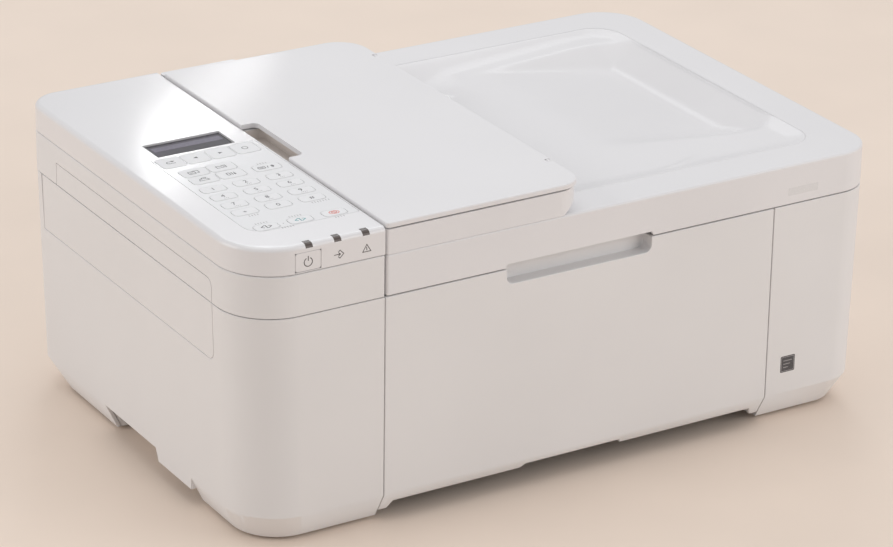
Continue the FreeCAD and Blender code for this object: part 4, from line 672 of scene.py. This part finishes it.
def mark_panel():
    """Prints on the film and the panel's front: tiny unreadable words, a dot and three signs."""
    film_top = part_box("keypad_film")[1][2]
    mark = Mark()
    for key, x, y, letters in FILM_WORDS:
        middle = top_of(key)
        word(mark, middle.x / MM + x, middle.y / MM + y, letters, FILM_WORD_HEIGHT, FILM_WORD_PITCH)
    first, second = top_of("key_start_black"), top_of("key_start_color")
    mark.plate(arc(((first.x + second.x) / 2 / MM, first.y / MM), 0.4, 0, 330, 11))
    mark.finish("film_prints", "base", "ink_pale", Vector((0, 0, film_top)))

    low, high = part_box("power_button")
    middle = Vector(((low[0] + high[0]) / 2, low[1], (low[2] + high[2]) / 2))
    mark = Mark()
    mark.line(arc((0, -0.5), 2.6, 118, 422, 24), POWER_LINE)
    mark.line([(0, 0.2), (0, 3.1)], POWER_LINE)
    mark.finish("power_sign", "power_cap", "ink_grey", middle, ON_FRONT)
    mark = Mark()
    mark.line([(0.2, 1.5), (1.2, 2.4), (3.6, 0), (1.2, -2.4), (0.2, -1.5)], LINE)
    mark.line([(-2.6, 0), (1.4, 0)], LINE)
    mark.line([(0.2, 1.1), (1.5, 0), (0.2, -1.1)], LINE)
    place = middle + Vector((MEMORY_RIGHT * MM, 0, 0))
    mark.finish("memory_sign", "base", "ink_grey", place, ON_FRONT)
    mark = Mark()
    mark.line([(0, 2.4), (-2.6, -2.0), (2.6, -2.0)], LINE, True)
    mark.line([(-0.1, 0.9), (0.1, -1.3)], BOLD)
    place = middle + Vector((ALARM_RIGHT * MM, 0, 0))
    mark.finish("alarm_sign", "base", "ink_grey", place, ON_FRONT)


def mark_display():
    """The display's dark inner frame and its lighter cell."""
    low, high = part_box("lcd_window")
    width, depth = (high[0] - low[0]) / MM, (high[1] - low[1]) / MM
    mark = Mark()
    mark.line(rounded(width - LCD_FRAME_INSET, depth - LCD_FRAME_INSET, 0.3), LCD_FRAME_WIDTH, True)
    mark.finish("lcd_frame", "base", "lcd_black", top_of("lcd_window"))
    mark = Mark()
    mark.plate(rounded(width - 5.2, depth * 0.3, 0.3, (0.6, depth * 0.16)))
    mark.finish("lcd_cell", "base", "lcd_tint", top_of("lcd_window"))


def front_spot(place, front):
    """The point in metres that lies across and up on a front face."""
    return Vector((place[0] * MM, front, place[1] * MM))


def mark_labels():
    """The small dark square on the right column and the clear label on the cover's front."""
    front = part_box("right_side_cover")[0][1]
    mark = Mark()
    mark.plate(rounded(10.6, 10.8, 0.8))
    mark.finish("column_plate", "base", "ink_plate", front_spot(COLUMN_PLATE, front), ON_FRONT)
    mark = Mark()
    for index in range(3):
        mark.line([(-3.2, 2.2 - 2.2 * index), (3.2 - 1.4 * index, 2.2 - 2.2 * index)], BOLD)
    mark.line(rounded(9.2, 9.4, 0.6), 0.35, True)
    mark.finish("column_plate_print", "base", "ink_pale",
                front_spot(COLUMN_PLATE, front - INK_ABOVE * MM), ON_FRONT)
    cover_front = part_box("document_cover")[0][1]
    mark = Mark()
    mark.plate(rounded(22, 5, 0.5))
    mark.finish("cover_label", "cover", "clear_label", front_spot(COVER_LABEL, cover_front), ON_FRONT)


# ---------------------------------------------------------------- the pressure pad

PAD_COLUMNS, PAD_ROWS = 64, 44
PAD_EDGE = 2.2
PAD_PULL = 0.9
PAD_DIMPLE = 0.10
PAD_CROWN = 0.15
PAD_MIDDLE = 0.6


def make_pad():
    """The film-covered foam under the lid: flat where it is stuck, crowned below, its sides drawn in."""
    low, high = (Vector(corner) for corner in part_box("pressure_pad"))
    columns, rows = PAD_COLUMNS, PAD_ROWS
    edge = PAD_EDGE * MM
    pull = PAD_PULL * MM
    mesh = bmesh.new()

    def point(u, v, side):
        """A point of the lower sheet (side 0) or the upper one, at shares across and along."""
        drawn_x = pull * (1 - (2 * v - 1) ** 2)
        drawn_y = pull * (1 - (2 * u - 1) ** 2)
        x = low.x + drawn_x + (high.x - low.x - 2 * drawn_x) * u
        y = low.y + drawn_y + (high.y - low.y - 2 * drawn_y) * v
        near = min(x - low.x - drawn_x, high.x - drawn_x - x, y - low.y - drawn_y, high.y - drawn_y - y)
        fall = 1 - math.sqrt(max(0.0, 1 - (1 - min(1.0, near / edge)) ** 2))
        wander = math.sin(x * 95 + 1.3 * math.sin(y * 61))
        dimple = PAD_DIMPLE * MM * wander * math.sin(y * 88 + math.sin(x * 47))
        middle = (low.z + high.z) / 2 + PAD_MIDDLE * MM
        if side == 0:
            crown = low.z + PAD_CROWN * MM + (middle - low.z) * fall
            return Vector((x, y, crown + max(0.0, dimple) * (1 - fall)))
        return Vector((x, y, high.z - (high.z - middle) * fall * 0.5))

    def spaced(count):
        """Shares from 0 to 1, closer together at both ends."""
        return [0.5 - 0.5 * math.cos(math.pi * index / count) for index in range(count + 1)]

    across, along = spaced(columns), spaced(rows)
    sheets = [[[mesh.verts.new(point(u, v, side)) for v in along] for u in across] for side in (0, 1)]
    for side, sheet in enumerate(sheets):
        for i in range(columns):
            for j in range(rows):
                corners = [sheet[i][j], sheet[i][j + 1], sheet[i + 1][j + 1], sheet[i + 1][j]]
                mesh.faces.new(corners if side == 0 else list(reversed(corners)))
    rim = ([(i, 0) for i in range(columns)] + [(columns, j) for j in range(rows)]
           + [(i, rows) for i in range(columns, 0, -1)] + [(0, j) for j in range(rows, 0, -1)])
    for index, (i, j) in enumerate(rim):
        next_i, next_j = rim[(index + 1) % len(rim)]
        mesh.faces.new((sheets[0][i][j], sheets[0][next_i][next_j],
                        sheets[1][next_i][next_j], sheets[1][i][j]))
    bmesh.ops.recalc_face_normals(mesh, faces=mesh.faces)
    pad = mesh_piece("foam_pad", mesh, "cover", "pad_foam")
    for face in pad.data.polygons:
        face.use_smooth = True
    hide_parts("pressure_pad")


# ---------------------------------------------------------------- the lid and its output dish

DISH_LEFT, DISH_RIGHT = -8.0, 191.0
DISH_FRONT, DISH_BACK = -121.0, 115.0
DISH_CORNERS = (20.0, 18.0, 4.0, 4.0)
DISH_SLOPE = 0.34
RIM_ROUND = 1.5
WELL_RIGHT, WELL_BACK, WELL_FRONT = 187.0, 90.0, -82.0
WELL_CORNER = 20.0
WELL_FLOOR = 156.2
WELL_TOE = 176.0
WELL_RISE = 0.094
WELL_WALL = 0.5
DISH_BOTTOM = 151.2
DISH_RINGS = 76
DISH_MIDDLE = (100.0, 0.0)
RING_CROWDING = 0.85
FACES_UP = 0.1
BASIN_BLEND, WELL_BLEND, LIP_BLEND = 1.8, 2.4, 1.2
# The shelf left of the well: its height at one place, its tilt to the right, and its fall at the back left.
SHELF_HEIGHT, SHELF_LEVEL_X, SHELF_RIGHT, SHELF_TILT = 166.4, 118.0, 150.0, 0.03
CORNER_FALL, CORNER_X, CORNER_Y, CORNER_BLEND = 0.11, 60.0, 40.0, 40.0
# The ramp up to the front of the well, and the top of its walls.
RAMP_HEIGHT, RAMP_Y, RAMP_LENGTH, RAMP_X, RAMP_WIDTH = 14.0, -46.0, 62.0, 20.0, 100.0
WELL_BRIM = 166.6
# The low crease that bends round the well's front left corner.
CREASE_CENTRE, CREASE_RADIUS = (84.0, -42.0), 66.0
CREASE_LEFT, CREASE_RIGHT, CREASE_BACK = 80.0, 120.0, -60.0
CREASE_HEIGHT, CREASE_WIDTH, CREASE_FAR = 0.9, 1.9, 9.0
CREASE_STARTS, CREASE_START_FADE, CREASE_ENDS, CREASE_END_FADE = 81.0, 12.0, 119.0, 14.0
LID_BEVEL = 0.4
CUTTER_TOP = 180.0
CUTTER_SUNK = 0.1


def inside_by(x, y, left, right, front, back, corner):
    """How far a point lies inside a rectangle with round corners."""
    across = abs(x - (left + right) / 2) - (right - left) / 2 + corner
    along = abs(y - (front + back) / 2) - (back - front) / 2 + corner
    outside = math.hypot(max(across, 0), max(along, 0)) + min(max(across, along), 0)
    return corner - outside


def blend_low(first, second, width):
    """The lower of two heights, blended over a width."""
    share = max(0.0, min(1.0, 0.5 + (second - first) / (2 * width)))
    return second + (first - second) * share - width * share * (1 - share)


def ease(value):
    """Takes 0..1 to 0..1 with a level start and end."""
    value = max(0.0, min(1.0, value))
    return value * value * (3 - 2 * value)


def dish_height(x, y, brim):
    """The lid's surface inside the rim line, in millimetres."""
    rim = inside_by(x, y, DISH_LEFT - 60, DISH_RIGHT, DISH_FRONT, DISH_BACK, DISH_CORNERS[0])
    inside = max(0.0, rim)
    slope = brim - DISH_SLOPE * inside * inside / (inside + RIM_ROUND)
    shelf = (SHELF_HEIGHT + SHELF_TILT * (min(x, SHELF_RIGHT) - SHELF_LEVEL_X)
             - CORNER_FALL * max(0.0, CORNER_X - x) * ease((y - CORNER_Y) / CORNER_BLEND))
    basin = -blend_low(-slope, -shelf, BASIN_BLEND)
    floor = (WELL_FLOOR + WELL_RISE * (WELL_TOE - x)
             + RAMP_HEIGHT * ease((RAMP_Y - y) / RAMP_LENGTH) * ease((x - RAMP_X) / RAMP_WIDTH))
    wall = inside_by(x, y, -200, WELL_RIGHT, WELL_FRONT, WELL_BACK, WELL_CORNER)
    side = WELL_BRIM - WELL_WALL * wall
    well = -blend_low(-floor, -side, WELL_BLEND)
    height = blend_low(basin, well, LIP_BLEND)
    from_arc = CREASE_FAR
    if CREASE_LEFT < x < CREASE_RIGHT and y < CREASE_BACK:
        from_arc = abs(math.hypot(x - CREASE_CENTRE[0], y - CREASE_CENTRE[1]) - CREASE_RADIUS)
    fade = ease((x - CREASE_STARTS) / CREASE_START_FADE) * ease((CREASE_ENDS - x) / CREASE_END_FADE)
    height += CREASE_HEIGHT * fade * math.exp(-(from_arc / CREASE_WIDTH) ** 2)
    return min(brim, height)


def dish_outline(grow=0.0):
    """Points round the rim line, anticlockwise, evenly spaced along the straight runs."""
    left, right = DISH_LEFT - grow, DISH_RIGHT + grow
    front, back = DISH_FRONT - grow, DISH_BACK + grow
    back_right, front_right, front_left, back_left = (radius + grow for radius in DISH_CORNERS)
    corners = ((right - back_right, back - back_right, back_right, 0),
               (left + back_left, back - back_left, back_left, 90),
               (left + front_left, front + front_left, front_left, 180),
               (right - front_right, front + front_right, front_right, 270))
    points = []
    for x, y, radius, start in corners:
        bend = arc((x, y), radius, start, start + 90, 14)
        if points:
            points += between(points[-1], bend[0])
        points += bend
    return points + between(points[-1], points[0])


def between(first, second, pitch=3.0):
    """Points spaced along a run, without its ends."""
    steps = max(1, round(math.dist(first, second) / pitch))
    return [(first[0] + (second[0] - first[0]) * i / steps, first[1] + (second[1] - first[1]) * i / steps)
            for i in range(1, steps)]


def make_dish(brim):
    """The lid's output surface, one closed solid: a shallow dish with a deep well at its right end."""
    mesh = bmesh.new()
    middle = DISH_MIDDLE
    edge = dish_outline()
    rings = []
    for ring in range(DISH_RINGS, 0, -1):
        share = (ring / DISH_RINGS) ** RING_CROWDING
        spots = [(middle[0] + share * (x - middle[0]), middle[1] + share * (y - middle[1])) for x, y in edge]
        rings.append([mesh.verts.new((x, y, brim if ring == DISH_RINGS else dish_height(x, y, brim)))
                      for x, y in spots])
    centre = mesh.verts.new((*middle, dish_height(*middle, brim)))
    foot = [mesh.verts.new((x, y, DISH_BOTTOM)) for x, y in edge]
    for outer, inner in [(foot, rings[0])] + list(zip(rings, rings[1:])):
        band(mesh, outer, inner)
    for index in range(len(edge)):
        mesh.faces.new((rings[-1][index], rings[-1][(index + 1) % len(edge)], centre))
    mesh.faces.new(list(reversed(foot)))
    bmesh.ops.scale(mesh, vec=(MM, MM, MM), verts=mesh.verts)
    bmesh.ops.recalc_face_normals(mesh, faces=mesh.faces)
    for face in mesh.faces:
        face.smooth = face.normal.z > FACES_UP
    mesh_piece("output_dish", mesh, "cover", "cover_white")


def make_lid():
    """The lid as packed, with the room for its output dish cut out of its top."""
    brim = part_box("document_cover")[1][2] / MM
    cutter_mesh = bmesh.new()
    prism(cutter_mesh, [(x * MM, y * MM) for x, y in dish_outline()],
          (DISH_BOTTOM - CUTTER_SUNK) * MM, CUTTER_TOP * MM)
    data = bpy.data.meshes.new("cutter")
    cutter_mesh.to_mesh(data)
    cutter_mesh.free()
    cutter = put("cutter", data)

    lid = put("lid_shell", NODES["document_cover"].data.copy())
    soften(lid, LID_BEVEL)
    carve = lid.modifiers.new("carve", "BOOLEAN")
    carve.operation = "DIFFERENCE"
    carve.solver = "EXACT"
    carve.object = cutter
    graph = bpy.context.evaluated_depsgraph_get()
    shape = bpy.data.meshes.new_from_object(lid.evaluated_get(graph))
    lid.modifiers.clear()
    old = lid.data
    lid.data = shape
    bpy.data.meshes.remove(old)
    bpy.data.objects.remove(cutter)
    bpy.data.meshes.remove(data)
    lid.data.materials.clear()
    lid.data.materials.append(MATERIALS["cover_white"])
    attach(lid, "cover")
    make_dish(brim)
    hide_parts("document_cover")


# ---------------------------------------------------------------- small linings in the gaps, some painted in shade

SKIRT_REACH = 0.27
BUTTON_GAP, BUTTON_CORNER = 0.05, 1.6
BUTTON_SKIRT_FRONT, BUTTON_SKIRT_BACK = 0.2, 0.5
KEY_GAP, KEY_CORNER = 0.06, 2.6
KEY_SKIRT_TOP, KEY_SKIRT_FOOT = -0.22, -0.5
SHROUD_FINISH = {"usb_socket_mouth": "screw_steel", "line_jack_mouth": "socket_black",
                 "phone_jack_mouth": "socket_black"}
SHROUD_CORNER = 0.5
# How far the shroud's flange, its lining, its outside and its closed end stand out from the opening.
FLANGE, LINING, OUTSIDE, CLOSED_END = (1.55, 2.15), (0.05, 0.05), (0.19, 0.19), (-3.85, -3.25)
FLANGE_SUNK, FLANGE_PROUD, END_THICK = 0.02, 0.1, 0.1
NOTCH_FRONT, NOTCH_BACK, NOTCH_RIGHT, NOTCH_INSET = -33.0, 26.0, -112.0, 0.8
NOTCH_CORNER, NOTCH_GAP, NOTCH_SHADE_THICK = 4.0, 0.05, 0.25
NOTCH_FLOOR, NOTCH_BRIM = 178.05, 184.6


def grown(across, up, grow, radius):
    """The round-cornered outline of two (low, high) spans, grown outwards."""
    return rounded(across[1] - across[0] + 2 * grow, up[1] - up[0] + 2 * grow, radius + grow,
                   ((across[0] + across[1]) / 2, (up[0] + up[1]) / 2))


def ribbon_piece(name, rows, body, ink):
    """A closed band through rows of corner points in metres; each row is one closed loop of the section."""
    mesh = bmesh.new()
    made = [[mesh.verts.new(corner) for corner in row] for row in rows]
    tube(mesh, made, True)
    bmesh.ops.recalc_face_normals(mesh, faces=mesh.faces)
    mesh_piece(name, mesh, body, ink)


def make_socket_shrouds():
    """The moulded or pressed housings that line the three sockets of the board, seen from the back."""
    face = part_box("main_board")[1][1] / MM
    for opening in frame["record"]["physics"]["openings"]:
        name = opening["name"]
        if name not in SHROUD_FINISH:
            continue
        low, high = (Vector(corner) / MM for corner in opening["box_m"])
        middle = ((low.x + high.x) / 2, (low.z + high.z) / 2)
        sunk, proud, inner_end = face - FLANGE_SUNK, face + FLANGE_PROUD, low.y - END_THICK
        rows = []
        for (grow_x, grow_z), y in ((FLANGE, sunk), (FLANGE, proud), (LINING, proud), (LINING, low.y),
                                    (CLOSED_END, low.y), (CLOSED_END, inner_end),
                                    (OUTSIDE, inner_end), (OUTSIDE, sunk)):
            loop = rounded(high.x - low.x + 2 * grow_x, high.z - low.z + 2 * grow_z, SHROUD_CORNER, middle)
            rows.append([(x * MM, y * MM, z * MM) for x, z in loop])
        ribbon_piece(name.replace("mouth", "shroud"), rows, "base", SHROUD_FINISH[name])


def make_power_skirt():
    """The panel's lip in the gap round the power button, grey as painted shade in the gap."""
    low, high = (Vector(corner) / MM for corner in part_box("power_button"))
    rows = []
    for grow, inward in ((BUTTON_GAP, BUTTON_SKIRT_BACK), (BUTTON_GAP, BUTTON_SKIRT_FRONT),
                         (SKIRT_REACH, BUTTON_SKIRT_FRONT), (SKIRT_REACH, BUTTON_SKIRT_BACK)):
        loop = grown((low.x, high.x), (low.z, high.z), grow, BUTTON_CORNER)
        rows.append([(x * MM, (low.y + inward) * MM, z * MM) for x, z in loop])
    # The skirt's grey is painted shade in the gap round the button.
    ribbon_piece("power_skirt", rows, "base", "key_skirt")


def make_finger_well_shade():
    """A warm grey sheet of painted shade in the notch that a fingertip lifts the document tray by."""
    housing_low = Vector(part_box("adf_housing")[0]) / MM
    left = housing_low.x + NOTCH_INSET

    def path(inset):
        """The notch's outline, open at its left end."""
        edge, bend = NOTCH_RIGHT - inset, NOTCH_CORNER
        return ([(left, NOTCH_FRONT + inset)]
                + arc((edge - bend, NOTCH_FRONT + inset + bend), bend, 270, 360, 6)
                + arc((edge - bend, NOTCH_BACK - inset - bend), bend, 0, 90, 6)
                + [(left, NOTCH_BACK - inset)])

    outer, inner = path(NOTCH_GAP), path(NOTCH_GAP + NOTCH_SHADE_THICK)
    mesh = bmesh.new()
    rows = [[mesh.verts.new((x * MM, y * MM, z * MM)) for (x, y), z in
             ((o, NOTCH_FLOOR), (o, NOTCH_BRIM), (i, NOTCH_BRIM), (i, NOTCH_FLOOR))]
            for o, i in zip(outer, inner)]
    tube(mesh, rows, False)
    prism(mesh, [(x * MM, y * MM) for x, y in inner], NOTCH_FLOOR * MM, (NOTCH_FLOOR + NOTCH_SHADE_THICK) * MM)
    bmesh.ops.recalc_face_normals(mesh, faces=mesh.faces)
    # The sheet's warm grey is painted shade, standing in for the hollow's shadow.
    mesh_piece("finger_well_painted_shade", mesh, "cover", "well_painted_shade")


def make_key_web():
    """The film's skirt in the gap round every key, a little below the keys' tops, in grey painted shade."""
    film_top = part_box("keypad_film")[1][2] / MM
    for node in NODES:
        if not node.startswith("key_"):
            continue
        low, high = (Vector(corner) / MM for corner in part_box(node))
        rows = []
        for grow, z in ((KEY_GAP, KEY_SKIRT_FOOT), (KEY_GAP, KEY_SKIRT_TOP),
                        (SKIRT_REACH, KEY_SKIRT_TOP), (SKIRT_REACH, KEY_SKIRT_FOOT)):
            loop = grown((low.x, high.x), (low.y, high.y), grow, KEY_CORNER)
            rows.append([(x * MM, y * MM, (film_top + z) * MM) for x, y in loop])
        # Each skirt's grey is painted shade in the gap round its key.
        ribbon_piece(f"{node}_skirt", rows, "base", "key_skirt")


def make_floor():
    """A plain pale floor."""
    bpy.ops.mesh.primitive_plane_add(size=FLOOR_SIDE)
    floor = bpy.context.object
    floor.name = "floor"
    floor.data.materials.append(moulded("floor", FLOOR_COLOUR, 0.6))


make_camera()
make_lights()
make_floor()
paint_nodes()
for node_name, edge_mm in BEVELLED.items():
    soften(NODES[node_name], edge_mm, node_name not in FREELY_BEVELLED)
mark_keys()
mark_panel()
mark_display()
mark_labels()
make_pad()
make_lid()
make_key_web()
make_power_skirt()
make_socket_shrouds()
make_finger_well_shade()
